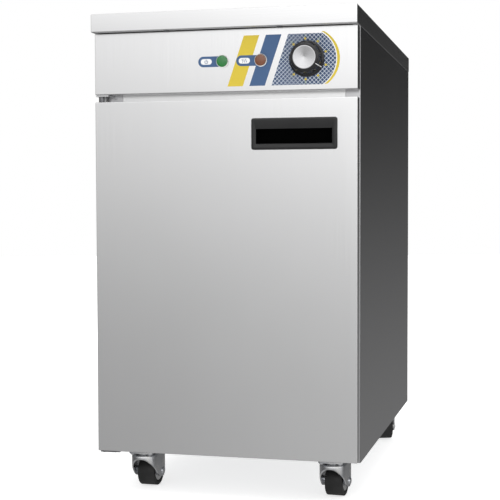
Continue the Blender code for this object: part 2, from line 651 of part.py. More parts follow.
def make_hinges():
    """Upper bracket in the gap over the door, lower bracket under the base, and a pin for each."""
    sheet = 2.2 * MM
    left, right = -221 * MM, -199 * MM
    front, back = 10 * MM, BODY_FRONT - GAP
    top = PANEL_BOTTOM - 0.8 * MM
    outline = [(front, top), (back, top), (back, DOOR_TOP + 0.8 * MM)]
    upper = folded_sheet("hinge_bracket_top", outline, "X", left, right, "dark_steel",
                         thickness=sheet, bend=0.6 * MM)
    combine(upper, pivot_cutter("upper_pivot_cutter"))
    rest = DOOR_BOTTOM - 0.5 * MM
    outline = [(14 * MM, rest), (back, rest), (back, BODY_BOTTOM - 2 * MM)]
    lower = folded_sheet("hinge_bracket_bottom", outline, "X", -219.5 * MM, -192 * MM,
                         "dark_steel", thickness=1.6 * MM, bend=0.5 * MM)
    combine(lower, pivot_cutter("lower_pivot_cutter"))
    foot, collar = 636 * MM, 4.75 * MM
    collar_low, collar_high = DOOR_TOP + GAP, top - sheet - GAP
    pin = [(0, top - 0.7 * MM), (PIVOT_RADIUS, top - 0.7 * MM), (PIVOT_RADIUS, collar_high),
           (collar, collar_high), (collar, collar_low), (PIVOT_RADIUS, collar_low),
           (PIVOT_RADIUS, foot), (0, foot)]
    turned("hinge_pin_top", pin, 16, "dark_steel", at(PIVOT_X, PIVOT_DEPTH, 0), (0, 0, 1))
    rod("hinge_pin_bottom", at(PIVOT_X, PIVOT_DEPTH, rest - 2.1 * MM),
        at(PIVOT_X, PIVOT_DEPTH, 94 * MM), PIVOT_RADIUS, "dark_steel")


def make_cable_gland():
    seat = DEPTH - SHEET
    proud = GLAND_BACK - seat
    outer = [(6 * MM, proud), (9.5 * MM, proud - 2.5 * MM), (10.5 * MM, 4.5 * MM),
             (13 * MM, 4.5 * MM), (13 * MM, 0), (8 * MM, 0), (8 * MM, -9 * MM)]
    turned("cable_gland", bored_profile(4 * MM, outer), 20, "black_plastic",
           at(GLAND_X, seat, GLAND_Z), (0, 1, 0))


# ---- casters ------------------------------------------------------------------------------
def wheel_profile():
    """Half of the wheel from the tread's middle to the hub's end face, as (radius, height)."""
    return [(WHEEL_RADIUS, WHEEL_HALF - 2.5 * MM), (WHEEL_RADIUS - 2.5 * MM, WHEEL_HALF),
            (19 * MM, WHEEL_HALF), (17 * MM, WHEEL_HALF - 2 * MM), (9 * MM, WHEEL_HALF - 2 * MM),
            (8 * MM, FORK_GAP_HALF - 0.6 * MM)]


def make_caster(name, x, d, degrees):
    """Swivel caster. degrees turns the fork, whose wheel trails towards +Y at zero."""
    swivel = at(x, d, 0)
    turn = Matrix.Rotation(math.radians(degrees), 4, "Z")
    place = Matrix.Translation(swivel) @ turn
    plate_top = BODY_BOTTOM - GAP
    race_bottom = plate_top - CASTER_PLATE_THICK - 3.0 * MM
    plate = box(name + "_plate", swivel + Vector((-CASTER_PLATE_HALF, -CASTER_PLATE_HALF,
                                                  plate_top - CASTER_PLATE_THICK)),
                swivel + Vector((CASTER_PLATE_HALF, CASTER_PLATE_HALF, plate_top)), "zinc",
                bevel=0.6 * MM)
    combine(plate, rod(name + "_race", swivel + Vector((0, 0, race_bottom)),
                       swivel + Vector((0, 0, plate_top - 0.8 * MM)), 15 * MM, sides=16), "UNION")

    crown_top = race_bottom - GAP
    skirt_bottom = crown_top - 8.6 * MM
    crown = [(0, crown_top), (19 * MM, crown_top), (22 * MM, crown_top - 2.5 * MM),
             (22 * MM, skirt_bottom), (20 * MM, skirt_bottom), (20 * MM, crown_top - 3 * MM),
             (18.4 * MM, crown_top - 2 * MM), (0, crown_top - 2 * MM)]
    fork = turned(name + "_fork", crown, 20, "zinc", swivel, (0, 0, 1))
    fork.rotation_quaternion = turn.to_quaternion()
    leg_end = 9 * MM
    hub = (CASTER_TRAIL, WHEEL_RADIUS)
    leg = [(-12 * MM, crown_top - 1 * MM), (-12 * MM, skirt_bottom - 3 * MM)]
    leg += arc(hub, leg_end, 215, 378, 6)
    leg += [(CASTER_TRAIL - 4 * MM, skirt_bottom - 3 * MM), (12 * MM, crown_top - 1 * MM)]
    sideways = Matrix.Rotation(math.radians(90), 4, "Z") @ Matrix.Rotation(math.radians(90), 4, "X")
    for side, tag in ((-1, "left"), (1, "right")):
        offset = Matrix.Translation((side * (FORK_GAP_HALF + FORK_THICK / 2), 0, 0))
        plate_leg = flat_outline(f"{name}_leg_{tag}", leg, FORK_THICK, place @ offset @ sideways)
        combine(fork, plate_leg, "UNION")
    across = place @ Vector((1, 0, 0)) - place @ Vector((0, 0, 0))
    centre = place @ Vector((0, CASTER_TRAIL, WHEEL_RADIUS))
    reach = FORK_GAP_HALF + FORK_THICK + 3 * MM
    combine(fork, rod(name + "_axle_cutter", centre - across * reach, centre + across * reach,
                      AXLE_HOLE, sides=12))

    half = wheel_profile()
    outer = [(radius, -height) for radius, height in reversed(half)]
    profile = bored_profile(AXLE_HOLE, list(half)[::-1] + outer[::-1])
    wheel = turned(name + "_wheel", profile, 20, "tyre_rubber", centre, (1, 0, 0))
    wheel.rotation_quaternion = (turn @ Matrix.Rotation(math.radians(90), 4, "Y")).to_quaternion()

    outside = FORK_GAP_HALF + FORK_THICK + GAP
    head = [(0, outside + 2.6 * MM), (5 * MM, outside + 2.6 * MM), (6.5 * MM, outside + 1.2 * MM),
            (6.5 * MM, outside), (AXLE_RADIUS, outside)]
    profile = head + [(radius, -height) for radius, height in reversed(head)]
    axle = turned(name + "_axle", profile, 12, "zinc", centre, (1, 0, 0))
    axle.rotation_quaternion = (turn @ Matrix.Rotation(math.radians(90), 4, "Y")).to_quaternion()


CASTERS = (                         # name, side, depth and swivel angle at rest
    ("caster_front_left", -1, CASTER_FRONT, 0),
    ("caster_front_right", 1, CASTER_FRONT, -3),
    ("caster_rear_left", -1, CASTER_REAR, 168),
    ("caster_rear_right", 1, CASTER_REAR, 200),
)


def main():
    make_worktop()
    make_side_panels()
    make_back_panel()
    make_base_panel()
    make_front_frame()
    make_liner()
    make_insulation()
    make_control_panel()
    make_lamp("power_lamp", POWER_LAMP_X, "green_lens")
    make_lamp("heat_lamp", HEAT_LAMP_X, "amber_lens")
    make_thermostat_and_knob()
    make_heater()
    make_uv_lamp()
    make_shelf_racks()
    make_shelf("lower_shelf", SHELF_LEDGES[0])
    make_shelf("upper_shelf", SHELF_LEDGES[1])
    make_latches()
    make_door()
    make_hinges()
    make_cable_gland()
    for name, side, d, degrees in CASTERS:
        make_caster(name, CASTER_OFFSET_X + side * CASTER_SPAN / 2, d, degrees)


main()
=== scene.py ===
"""The looks of a small stainless sterilizer cabinet on casters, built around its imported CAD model.

Lengths are in metres in the frame's own axes: +X to the cabinet's right, -Y out of its front
and +Z up.
"""

import math

import bmesh
import bpy
from mathutils import Matrix, Vector


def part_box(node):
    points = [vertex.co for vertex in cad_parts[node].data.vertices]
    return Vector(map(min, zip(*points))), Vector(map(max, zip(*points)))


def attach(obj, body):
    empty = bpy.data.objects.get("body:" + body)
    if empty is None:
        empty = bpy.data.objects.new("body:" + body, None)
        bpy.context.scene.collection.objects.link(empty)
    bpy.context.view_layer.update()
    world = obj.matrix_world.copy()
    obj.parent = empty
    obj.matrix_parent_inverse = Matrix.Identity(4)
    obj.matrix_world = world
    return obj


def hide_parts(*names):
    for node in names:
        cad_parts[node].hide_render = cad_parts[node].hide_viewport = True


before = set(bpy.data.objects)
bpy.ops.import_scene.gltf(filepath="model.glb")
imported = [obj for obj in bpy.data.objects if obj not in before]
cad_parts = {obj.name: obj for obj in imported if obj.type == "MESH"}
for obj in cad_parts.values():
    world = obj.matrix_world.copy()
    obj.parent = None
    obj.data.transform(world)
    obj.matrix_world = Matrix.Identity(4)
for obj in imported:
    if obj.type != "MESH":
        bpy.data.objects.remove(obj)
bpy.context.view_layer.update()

MM = 0.001
DEGREE = math.pi / 180
AXIS = 0.05 * MM                       # inner radius of a turned solid that is closed at its centre
SCENE = bpy.context.scene


# ---- materials ----------------------------------------------------------------------------
class Graph:
    """Short forms for the nodes of one shader tree."""

    def __init__(self, tree):
        self.tree = tree

    def node(self, kind, **settings):
        made = self.tree.nodes.new(kind)
        for key, value in settings.items():
            setattr(made, key, value)
        return made

    def link(self, source, target):
        self.tree.links.new(source, target)

    def axes(self, vector):
        """The X, Y and Z of a vector."""
        split = self.node("ShaderNodeSeparateXYZ")
        self.link(vector, split.inputs["Vector"])
        return split.outputs

    def math(self, operation, *values):
        node = self.node("ShaderNodeMath", operation=operation)
        for socket, value in zip(node.inputs, values):
            if isinstance(value, (int, float)):
                socket.default_value = value
            else:
                self.link(value, socket)
        return node.outputs[0]

    def ramp(self, value, low, high, start=0.0, end=1.0):
        node = self.node("ShaderNodeMapRange", interpolation_type="SMOOTHSTEP")
        for socket, number in zip(("From Min", "From Max", "To Min", "To Max"),
                                  (low, high, start, end)):
            node.inputs[socket].default_value = number
        self.link(value, node.inputs["Value"])
        return node.outputs["Result"]


class Finish(Graph):
    """A procedural material: one Principled shader and the textures that drive it."""

    def __init__(self, name, colour, roughness, metallic=0.0, **sockets):
        self.material = bpy.data.materials.new(name)
        self.material.use_nodes = True
        super().__init__(self.material.node_tree)
        self.shader = self.tree.nodes["Principled BSDF"]
        self.colour = colour
        self.roughness = roughness
        self.height = None
        self.shader.inputs["Base Color"].default_value = (*colour, 1)
        self.shader.inputs["Roughness"].default_value = roughness
        self.shader.inputs["Metallic"].default_value = metallic
        for socket, value in sockets.items():
            self.shader.inputs[socket.replace("_", " ")].default_value = value
        self.place = self.node("ShaderNodeTexCoord").outputs["Object"]

    def noise(self, scale, stretch=(1, 1, 1), detail=3.0):
        """Noise of about `scale` cells a metre, drawn out along the axes whose stretch is small."""
        mapping = self.node("ShaderNodeMapping")
        mapping.inputs["Scale"].default_value = stretch
        self.link(self.place, mapping.inputs["Vector"])
        noise = self.node("ShaderNodeTexNoise")
        noise.inputs["Scale"].default_value = scale
        noise.inputs["Detail"].default_value = detail
        self.link(mapping.outputs["Vector"], noise.inputs["Vector"])
        return noise.outputs["Fac"]

    def cells(self, scale):
        voronoi = self.node("ShaderNodeTexVoronoi")
        voronoi.inputs["Scale"].default_value = scale
        self.link(self.place, voronoi.inputs["Vector"])
        split = self.node("ShaderNodeSeparateColor")
        self.link(voronoi.outputs["Color"], split.inputs["Color"])
        return split.outputs["Red"]

    def mix(self, factor, first, second):
        """Blends two colours, each a tuple or another node's output."""
        node = self.node("ShaderNodeMix", data_type="RGBA")
        self.link(factor, node.inputs["Factor"])
        for socket, value in zip((node.inputs[6], node.inputs[7]), (first, second)):
            if isinstance(value, tuple):
                socket.default_value = (*value, 1)
            else:
                self.link(value, socket)
        return node.outputs[2]

    def paint(self, output):
        self.link(output, self.shader.inputs["Base Color"])

    def vary_colour(self, value, amount):
        """Lightens and darkens the colour by a share as value goes from 0.3 to 0.7."""
        dark = tuple(c * (1 - amount) for c in self.colour)
        light = tuple(min(1.0, c * (1 + amount)) for c in self.colour)
        self.paint(self.mix(self.ramp(value, 0.3, 0.7), dark, light))

    def vary_roughness(self, value, amount):
        self.link(self.ramp(value, 0.3, 0.7, self.roughness - amount, self.roughness + amount),
                  self.shader.inputs["Roughness"])

    def relief(self, value, strength, distance):
        """Adds a layer of bump over the ones before it."""
        bump = self.node("ShaderNodeBump")
        bump.inputs["Strength"].default_value = strength
        bump.inputs["Distance"].default_value = distance
        self.link(value, bump.inputs["Height"])
        if self.height is not None:
            self.link(self.height, bump.inputs["Normal"])
        self.height = bump.outputs["Normal"]
        self.link(self.height, self.shader.inputs["Normal"])


def brushed_steel(name, colour, roughness, grain, strength=0.03):
    """Satin steel whose polishing lines run along the axis where grain is small."""
    steel = Finish(name, colour, roughness, 1.0)
    lines = steel.noise(1500, grain, 4)
    handled = steel.noise(7, detail=1)
    steel.vary_colour(lines, 0.012)
    steel.vary_roughness(handled, 0.006)
    steel.relief(lines, strength, 0.05 * MM)
    return steel.material


def galvanised_steel(name):
    zinc = Finish(name, (0.55, 0.57, 0.59), 0.46, 1.0)
    spangle = zinc.cells(160)
    zinc.vary_colour(spangle, 0.05)
    zinc.vary_roughness(spangle, 0.03)
    zinc.relief(zinc.noise(420), 0.08, 0.1 * MM)
    return zinc.material


def zinc_plate(name):
    zinc = Finish(name, (0.74, 0.75, 0.77), 0.24, 1.0)
    cloud = zinc.noise(70, detail=4)
    zinc.paint(zinc.mix(zinc.ramp(cloud, 0.35, 0.68), (0.66, 0.67, 0.70), (0.80, 0.80, 0.79)))
    zinc.vary_roughness(cloud, 0.06)
    zinc.relief(zinc.noise(900), 0.10, 0.1 * MM)
    return zinc.material


def enamel(name, colour, roughness=0.3):
    paint = Finish(name, colour, roughness, Coat_Weight=0.25)
    paint.vary_colour(paint.noise(14), 0.012)
    paint.relief(paint.noise(260, detail=1), 0.06, 0.15 * MM)
    return paint.material


def printed_film(name, colour):
    """Screen-printed colour under a clear polyester face with a fine velvet texture."""
    ink = Finish(name, colour, 0.34)
    ink.vary_colour(ink.noise(1100, detail=2), 0.035)
    ink.relief(ink.noise(2600, detail=1), 0.05, 0.03 * MM)
    return ink.material


def lattice_film(name, ground, line, pitch, width):
    """Printed film with two families of fine diagonal lines, pitch apart."""
    film = Finish(name, ground, 0.34)
    x, _, z = film.axes(film.place)
    marks = []
    for operation in ("ADD", "SUBTRACT"):
        across = film.math("DIVIDE", film.math(operation, x, z), pitch * math.sqrt(2))
        cell = film.math("ABSOLUTE", film.math("SUBTRACT", film.math("FRACT", across), 0.5))
        edge = 0.5 - width / pitch / 2
        marks.append(film.ramp(cell, edge - 0.02, edge + 0.02))
    lines = film.math("MAXIMUM", *marks)
    ink = film.mix(film.ramp(film.noise(900), 0.3, 0.7), ground,
                   tuple(c * 0.93 for c in ground))
    film.paint(film.mix(lines, ink, line))
    film.relief(film.noise(2600, detail=1), 0.05, 0.03 * MM)
    return film.material


def moulded_plastic(name, colour, roughness=0.42, grain=0.16, gloss=0.45):
    plastic = Finish(name, colour, roughness, Specular_IOR_Level=gloss)
    spark = plastic.noise(1400, detail=2)
    plastic.vary_colour(plastic.noise(35), 0.06)
    plastic.vary_roughness(plastic.noise(120), 0.05)
    plastic.relief(spark, grain, 0.08 * MM)
    return plastic.material


def rubber(name, colour, roughness=0.55):
    tyre = Finish(name, colour, roughness, Specular_IOR_Level=0.35)
    tyre.vary_colour(tyre.noise(60, detail=4), 0.22)
    tyre.vary_roughness(tyre.noise(150), 0.08)
    tyre.relief(tyre.noise(700), 0.14, 0.1 * MM)
    return tyre.material


def tinted_lens(name, colour, deep):
    """Coloured lens with a moulded prism lattice on its inner face."""
    lens = Finish(name, colour, 0.14, IOR=1.49, Coat_Weight=0.8, Transmission_Weight=0.25)
    pitch = 2.2 * MM
    waves = [lens.math("SINE", lens.math("MULTIPLY", axis, 2 * math.pi / pitch))
             for axis in lens.axes(lens.place)[:2]]
    prisms = lens.math("MULTIPLY", *waves)
    lens.paint(lens.mix(lens.ramp(prisms, -0.6, 0.6), deep, colour))
    lens.relief(prisms, 0.5, 0.25 * MM)
    return lens.material


def spun_aluminium(name):
    """Face-turned aluminium: fine rings round the local Z axis and the glint across them."""
    cap = Finish(name, (0.66, 0.66, 0.67), 0.26, 1.0, Anisotropic=0.85)
    tangent = cap.node("ShaderNodeTangent", direction_type="RADIAL", axis="Z")
    cap.link(tangent.outputs["Tangent"], cap.shader.inputs["Tangent"])
    wave = cap.node("ShaderNodeTexWave", wave_type="RINGS", rings_direction="Z")
    wave.inputs["Scale"].default_value = 900
    wave.inputs["Distortion"].default_value = 0.4
    cap.link(cap.place, wave.inputs["Vector"])
    cap.vary_colour(wave.outputs["Fac"], 0.04)
    cap.relief(wave.outputs["Fac"], 0.06, 0.03 * MM)
    return cap.material


def glass_wool(name):
    wool = Finish(name, (0.80, 0.70, 0.36), 0.95, Sheen_Weight=0.3)
    fibres = wool.noise(260, (1, 0.25, 1), 6)
    wool.vary_colour(fibres, 0.22)
    wool.relief(fibres, 0.8, 1.5 * MM)
    return wool.material


def quartz_glass(name):
    quartz = Finish(name, (0.86, 0.91, 0.97), 0.05, IOR=1.46, Transmission_Weight=0.85)
    frost = quartz.noise(55, (0.3, 1, 1), 3)
    quartz.vary_colour(frost, 0.04)
    quartz.vary_roughness(frost, 0.03)
    return quartz.material


def sheathed_element(name):
    """Heater sheath, blued and mottled by its own heat."""
    sheath = Finish(name, (0.24, 0.22, 0.21), 0.42, 1.0)
    mottle = sheath.noise(45, detail=5)
    blued, browned = (0.17, 0.17, 0.20), (0.34, 0.28, 0.22)
    sheath.paint(sheath.mix(sheath.ramp(mottle, 0.35, 0.65), blued, browned))
    sheath.vary_roughness(mottle, 0.1)
    sheath.relief(sheath.noise(600), 0.2, 0.1 * MM)
    return sheath.material


ALONG_X, ALONG_Y, ALONG_Z = (0.004, 1, 1), (1, 0.004, 1), (1, 1, 0.004)
STEEL = (0.86, 0.86, 0.865)
BLUE = (0.048, 0.108, 0.235)
DEEP_BLUE = (0.022, 0.056, 0.140)
YELLOW = (0.68, 0.52, 0.045)
LOOKS = {
    "satin_front": brushed_steel("satin_steel_front", STEEL, 0.25, ALONG_Z),
    "satin_top": brushed_steel("satin_steel_worktop", STEEL, 0.26, ALONG_X),
    # The side panels' steel is a darker copy of the front steel: painted shade.
    "satin_side": brushed_steel("satin_steel_side", (0.56, 0.56, 0.57), 0.26, ALONG_Z, 0.008),
    "liner": brushed_steel("satin_steel_liner", (0.74, 0.74, 0.75), 0.34, ALONG_X, 0.08),
    "wire": brushed_steel("polished_wire", (0.80, 0.80, 0.81), 0.20, ALONG_Y, 0.06),
    "dark_steel": brushed_steel("dark_hinge_steel", (0.20, 0.20, 0.21), 0.36, ALONG_X, 0.10),
    "galvanised": galvanised_steel("galvanised_sheet"),
    "zinc": zinc_plate("bright_zinc_plate"),
    "enamel": enamel("white_panel_enamel", (0.90, 0.90, 0.90)),
    "black": moulded_plastic("black_moulded_plastic", (0.014, 0.014, 0.0145)),
    "knob_black": moulded_plastic("black_knob_phenolic", (0.012, 0.012, 0.013), 0.14, 0.05),
    # The pocket's plastic is near-black, darker than the rim's black plastic: painted shade inside
    # the recess.
    "hollow_black": moulded_plastic("black_handle_pocket", (0.0010, 0.0010, 0.0010), 0.95, 0.1,
                                    gloss=0.04),
    "white": moulded_plastic("white_moulded_plastic", (0.80, 0.80, 0.78), 0.36, 0.10),
    "aluminium": spun_aluminium("spun_aluminium"),
    "green": tinted_lens("green_lens", (0.03, 0.30, 0.06), (0.01, 0.14, 0.03)),
    "amber": tinted_lens("amber_lens", (0.30, 0.10, 0.04), (0.14, 0.045, 0.02)),
    "tyre": rubber("black_tyre_rubber", (0.014, 0.014, 0.014)),
    "gasket": rubber("grey_gasket_rubber", (0.055, 0.055, 0.058), 0.65),
    "wool": glass_wool("glass_wool"),
    "quartz": quartz_glass("quartz_glass"),
    "ferrite": moulded_plastic("ferrite_block", (0.05, 0.05, 0.052), 0.6, 0.3),
    "sheath": sheathed_element("heater_sheath"),
    "blue": printed_film("blue_print", BLUE),
    "yellow": printed_film("yellow_print", YELLOW),
    "white_print": printed_film("white_print", (0.90, 0.90, 0.90)),
    "pale_print": printed_film("pale_green_print", (0.42, 0.55, 0.30)),
    "lattice": lattice_film("lattice_print", DEEP_BLUE, (0.74, 0.79, 0.86), 4.8 * MM,
                            0.68 * MM),
}


# ---- mesh helpers -------------------------------------------------------------------------
def add_object(name, data):
    made = bpy.data.objects.new(name, data)
    SCENE.collection.objects.link(made)
    return made


def evaluated_mesh(piece):
    """The mesh that a piece's modifiers or its text leave."""
    bpy.context.view_layer.update()
    evaluated = piece.evaluated_get(bpy.context.evaluated_depsgraph_get())
    return bpy.data.meshes.new_from_object(evaluated)


def piece_from(name, bm, look, place=None, sharp=32):
    """Turns a bmesh into a shaded object at place, a matrix in the frame."""
    bmesh.ops.remove_doubles(bm, verts=bm.verts, dist=0.001 * MM)
    bmesh.ops.recalc_face_normals(bm, faces=bm.faces)
    mesh = bpy.data.meshes.new(name)
    bm.to_mesh(mesh)
    bm.free()
    mesh.shade_smooth()
    mesh.set_sharp_from_angle(angle=sharp * DEGREE)
    mesh.materials.append(LOOKS[look])
    piece = add_object(name, mesh)
    if place is not None:
        piece.matrix_world = place
    return piece


def fit(piece, body, slot, *stands_for):
    """Fixes a finished piece to its body, and hides the CAD nodes that it stands for."""
    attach(piece, body)
    if stands_for:
        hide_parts(*stands_for)
    return piece


def facing(origin, axis):
    """A frame at origin whose local Z is axis."""
    return Matrix.Translation(origin) @ Vector(axis).to_track_quat("Z", "Y").to_matrix().to_4x4()


def loft_into(bm, rings, capped=True):
    """Skins rings of equal length in order, and closes both ends."""
    loops = [[bm.verts.new(point) for point in ring] for ring in rings]
    count = len(loops[0])
    for lower, upper in zip(loops, loops[1:]):
        for i in range(count):
            following = (i + 1) % count
            bm.faces.new((lower[i], lower[following], upper[following], upper[i]))
    if capped:
        bm.faces.new(loops[0])
        bm.faces.new(loops[-1])
    return loops


def turn_into(bm, profile, steps=64, place=None, radius_at=None):
    """Adds the solid turned from (radius, height) points round Z.

    radius_at changes the radius by height and angle.
    """
    rings = []
    for radius, height in profile:
        ring = []
        for i in range(steps):
            angle = 2 * math.pi * i / steps
            reach = radius if radius_at is None else radius_at(radius, height, angle)
            point = Vector((reach * math.cos(angle), reach * math.sin(angle), height))
            ring.append(place @ point if place else point)
        rings.append(ring)
    loft_into(bm, rings)


def turn_pair(bm, profile, steps):
    """Adds a turned solid and its mirror image below the origin."""
    for sign in (-1, 1):
        turn_into(bm, [(radius, sign * height) for radius, height in profile], steps)


def drop_caps(bm):
    """Opens the end discs that turn_into leaves on a ring-shaped solid."""
    for face in [f for f in bm.faces if len(f.verts) > 4]:
        bm.faces.remove(face)


def turned_piece(name, profile, look, place, steps=64, sharp=32):
    bm = bmesh.new()
    turn_into(bm, profile, steps)
    return piece_from(name, bm, look, place, sharp)


def rounded_rectangle(low, high, radius, steps=6):
    """Corner points, anticlockwise from the lower left, of a rectangle with round corners."""
    corners = ((low[0] + radius, low[1] + radius, 180), (high[0] - radius, low[1] + radius, 270),
               (high[0] - radius, high[1] - radius, 0), (low[0] + radius, high[1] - radius, 90))
    points = []
    for x, y, start in corners:
        for i in range(steps + 1):
            angle = (start + 90 * i / steps) * DEGREE
            points.append((x + radius * math.cos(angle), y + radius * math.sin(angle)))
    return points


def arc_points(centre, radius, start, end, steps):
    """Points along an arc, angles in degrees from +X towards +Y."""
    angles = [(start + (end - start) * i / steps) * DEGREE for i in range(steps + 1)]
    return [(centre[0] + radius * math.cos(a), centre[1] + radius * math.sin(a)) for a in angles]


def prism_into(bm, outline, low, high, lift):
    """Adds an outline pulled from low to high; lift(u, v, w) gives each point's place."""
    loft_into(bm, [[lift(u, v, w) for u, v in outline] for w in (low, high)])


def boolean(target, cutter, operation="DIFFERENCE"):
    """Applies one Boolean at once and removes the cutter."""
    modifier = target.modifiers.new("cut", "BOOLEAN")
    modifier.operation = operation
    modifier.object = cutter
    mesh = evaluated_mesh(target)
    target.modifiers.clear()
    target.data = mesh
    bpy.data.objects.remove(cutter)
    return target


def soften(piece, width, segments=2, angle=35):
    bevel = piece.modifiers.new("edges", "BEVEL")
    bevel.width = width
    bevel.segments = segments
    bevel.limit_method = "ANGLE"
    bevel.angle_limit = angle * DEGREE
    bevel.harden_normals = True
    return piece


def wire_into(bm, points, radius, closed=False, sides=12):
    """Adds a round wire along points, which lie close enough together to look curved."""
    points = [Vector(p) for p in points]
    count = len(points)
    rings = []
    for i, point in enumerate(points):
        before = points[(i - 1) % count] if closed or i else points[0]
        after = points[(i + 1) % count] if closed or i < count - 1 else points[-1]
        along = (after - before).normalized()
        across = along.cross(Vector((0, 0, 1)))
        across = across.normalized() if across.length > 1e-6 else Vector((1, 0, 0))
        upward = across.cross(along)
        rings.append([point + radius * (across * math.cos(a) + upward * math.sin(a))
                      for a in (2 * math.pi * k / sides for k in range(sides))])
    if closed:
        rings.append(rings[0])
    loft_into(bm, rings, capped=not closed)


def middle(node):
    low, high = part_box(node)
    return (low + high) / 2


# ---- CAD nodes that stay --------------------------------------------------------------------
def smoothing_group():
    """Welds the imported facets, keeps real corners sharp and shades the rest smooth."""
    group = bpy.data.node_groups.new("weld_and_smooth", "GeometryNodeTree")
    group.interface.new_socket("Geometry", in_out="INPUT", socket_type="NodeSocketGeometry")
    group.interface.new_socket("Geometry", in_out="OUTPUT", socket_type="NodeSocketGeometry")
    nodes, links = group.nodes, group.links
    start, end = nodes.new("NodeGroupInput"), nodes.new("NodeGroupOutput")
    weld = nodes.new("GeometryNodeMergeByDistance")
    weld.inputs["Distance"].default_value = 0.004 * MM
    angle = nodes.new("GeometryNodeInputMeshEdgeAngle")
    gentle = nodes.new("FunctionNodeCompare")
    gentle.operation = "LESS_THAN"
    gentle.inputs["B"].default_value = 33 * DEGREE
    edges = nodes.new("GeometryNodeSetShadeSmooth")
    edges.domain = "EDGE"
    faces = nodes.new("GeometryNodeSetShadeSmooth")
    faces.domain = "FACE"
    links.new(start.outputs[0], weld.inputs["Geometry"])
    links.new(angle.outputs["Unsigned Angle"], gentle.inputs["A"])
    links.new(weld.outputs["Geometry"], edges.inputs["Geometry"])
    links.new(gentle.outputs["Result"], edges.inputs["Shade Smooth"])
    links.new(edges.outputs["Geometry"], faces.inputs["Geometry"])
    links.new(faces.outputs["Geometry"], end.inputs[0])
    return group


NODE_LOOKS = {
    "satin_top": ("worktop",),
    "satin_front": ("door_outer_skin", "front_frame", "control_panel"),
    # The side panels take the darker copy of the steel, painted shade.
    "satin_side": ("left_side_panel", "right_side_panel"),
    "enamel": ("uv_ballast",),
    "liner": ("liner_walls", "liner_ceiling", "liner_floor", "door_inner_skin",
              "hinge_bracket_top", "shelf_rack_left", "shelf_rack_right", "lamp_reflector",
              "heater_guard", "catch_strike"),
    "galvanised": ("back_panel", "base_panel"),
    "dark_steel": ("hinge_bracket_bottom", "hinge_pin_top", "hinge_pin_bottom",
                   "thermostat_spindle"),
    "wool": ("insulation", "door_insulation"),
    "gasket": ("door_gasket",),
    "white": ("lamp_holder_left", "lamp_holder_right", "door_switch"),
    "black": ("thermostat_body",),
    "ferrite": ("catch_magnet", "switch_magnet"),
    "sheath": ("heating_element",),
}


def dress_cad_nodes():
    group = smoothing_group()
    for look, names in NODE_LOOKS.items():
        for name in names:
            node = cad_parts[name]
            node.data.materials.clear()
            node.data.materials.append(LOOKS[look])
            node.modifiers.new("weld_and_smooth", "NODES").node_group = group
            weighted = node.modifiers.new("weighted_normals", "WEIGHTED_NORMAL")
            weighted.keep_sharp = True


# ---- control panel --------------------------------------------------------------------------
PANEL_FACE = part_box("control_panel")[0].y
KNOB = middle("knob_body")
FILM = 0.12 * MM                       # thickness of one layer of the printed overlay
GRAPHIC_LOW, GRAPHIC_HIGH = KNOB.z - 40.9 * MM, KNOB.z + 40.5 * MM
FIELD_RADIUS = 47.7 * MM
FIELD_CENTRE = (KNOB.x, (GRAPHIC_LOW + GRAPHIC_HIGH) / 2)
FIELD_SPAN = math.degrees(math.asin((GRAPHIC_HIGH - GRAPHIC_LOW) / 2 / FIELD_RADIUS))


def film(name, outline, look, layer=1):
    """A printed shape on the control panel, in X and Z, standing on the layers below it."""
    bm = bmesh.new()
    prism_into(bm, outline, PANEL_FACE - layer * FILM, PANEL_FACE - 0.02 * MM,
               lambda x, z, y: Vector((x, y, z)))
    return fit(piece_from(name, bm, look), "cabinet", "panel_white")


def slanted_band(name, start, width, look):
    """A band that leans to the right from the graphic's lower edge to its upper edge."""
    lean = 28 * MM
    film(name, [(start, GRAPHIC_LOW), (start + width, GRAPHIC_LOW),
                (start + width + lean, GRAPHIC_HIGH), (start + lean, GRAPHIC_HIGH)], look)


def dial_field():
    """The lattice ground round the knob, slanted left and round right, and a crescent."""
    right = arc_points(FIELD_CENTRE, FIELD_RADIUS, -FIELD_SPAN, FIELD_SPAN, 40)
    left_low, left_high = (82 * MM, GRAPHIC_LOW), (110 * MM, GRAPHIC_HIGH)
    film("dial_field", [left_low] + right + [left_high], "lattice")
    gap, swell = 1.6 * MM, 4.4 * MM
    start, end = -FIELD_SPAN + 4, FIELD_SPAN + 3
    inner = arc_points(FIELD_CENTRE, FIELD_RADIUS + gap, start, end, 40)
    outer_centre = (FIELD_CENTRE[0] + swell, FIELD_CENTRE[1])
    outer = arc_points(outer_centre, FIELD_RADIUS + gap, end, start, 40)
    film("dial_crescent", inner + outer, "yellow")


def dial_marks():
    """Dots round the dial at even steps, and a number beside each."""
    steps, first_angle, sweep = 8, 133, 265
    dot_reach, number_reach, dot = 32.4 * MM, 37.0 * MM, 1.9 * MM
    for i in range(steps):
        angle = first_angle - sweep * i / (steps - 1)
        x = KNOB.x + dot_reach * math.cos(angle * DEGREE)
        z = KNOB.z + dot_reach * math.sin(angle * DEGREE)
        film(f"dial_dot_{i + 1}", arc_points((x, z), dot, 0, 345, 23), "yellow", 2)
        x = KNOB.x + number_reach * math.cos(angle * DEGREE)
        z = KNOB.z + number_reach * math.sin(angle * DEGREE)
        numeral(f"dial_number_{i + 1}", str(i), x, z)


def numeral(name, text, x, z):
    """A plain printed digit, centred on x and z."""
    curve = bpy.data.curves.new(name, "FONT")
    curve.body = text
    curve.size = 5.0 * MM
    curve.extrude = FILM / 2
    curve.align_x, curve.align_y = "CENTER", "CENTER"
    writer = add_object(name + "_outline", curve)
    mesh = evaluated_mesh(writer)
    bpy.data.objects.remove(writer)
    mesh.materials.clear()
    mesh.materials.append(LOOKS["pale_print"])
    number = add_object(name, mesh)
    number.matrix_world = (Matrix.Translation((x, PANEL_FACE - 1.6 * FILM, z))
                           @ Matrix.Rotation(math.pi / 2, 4, "X"))
    fit(number, "cabinet", "panel_white")


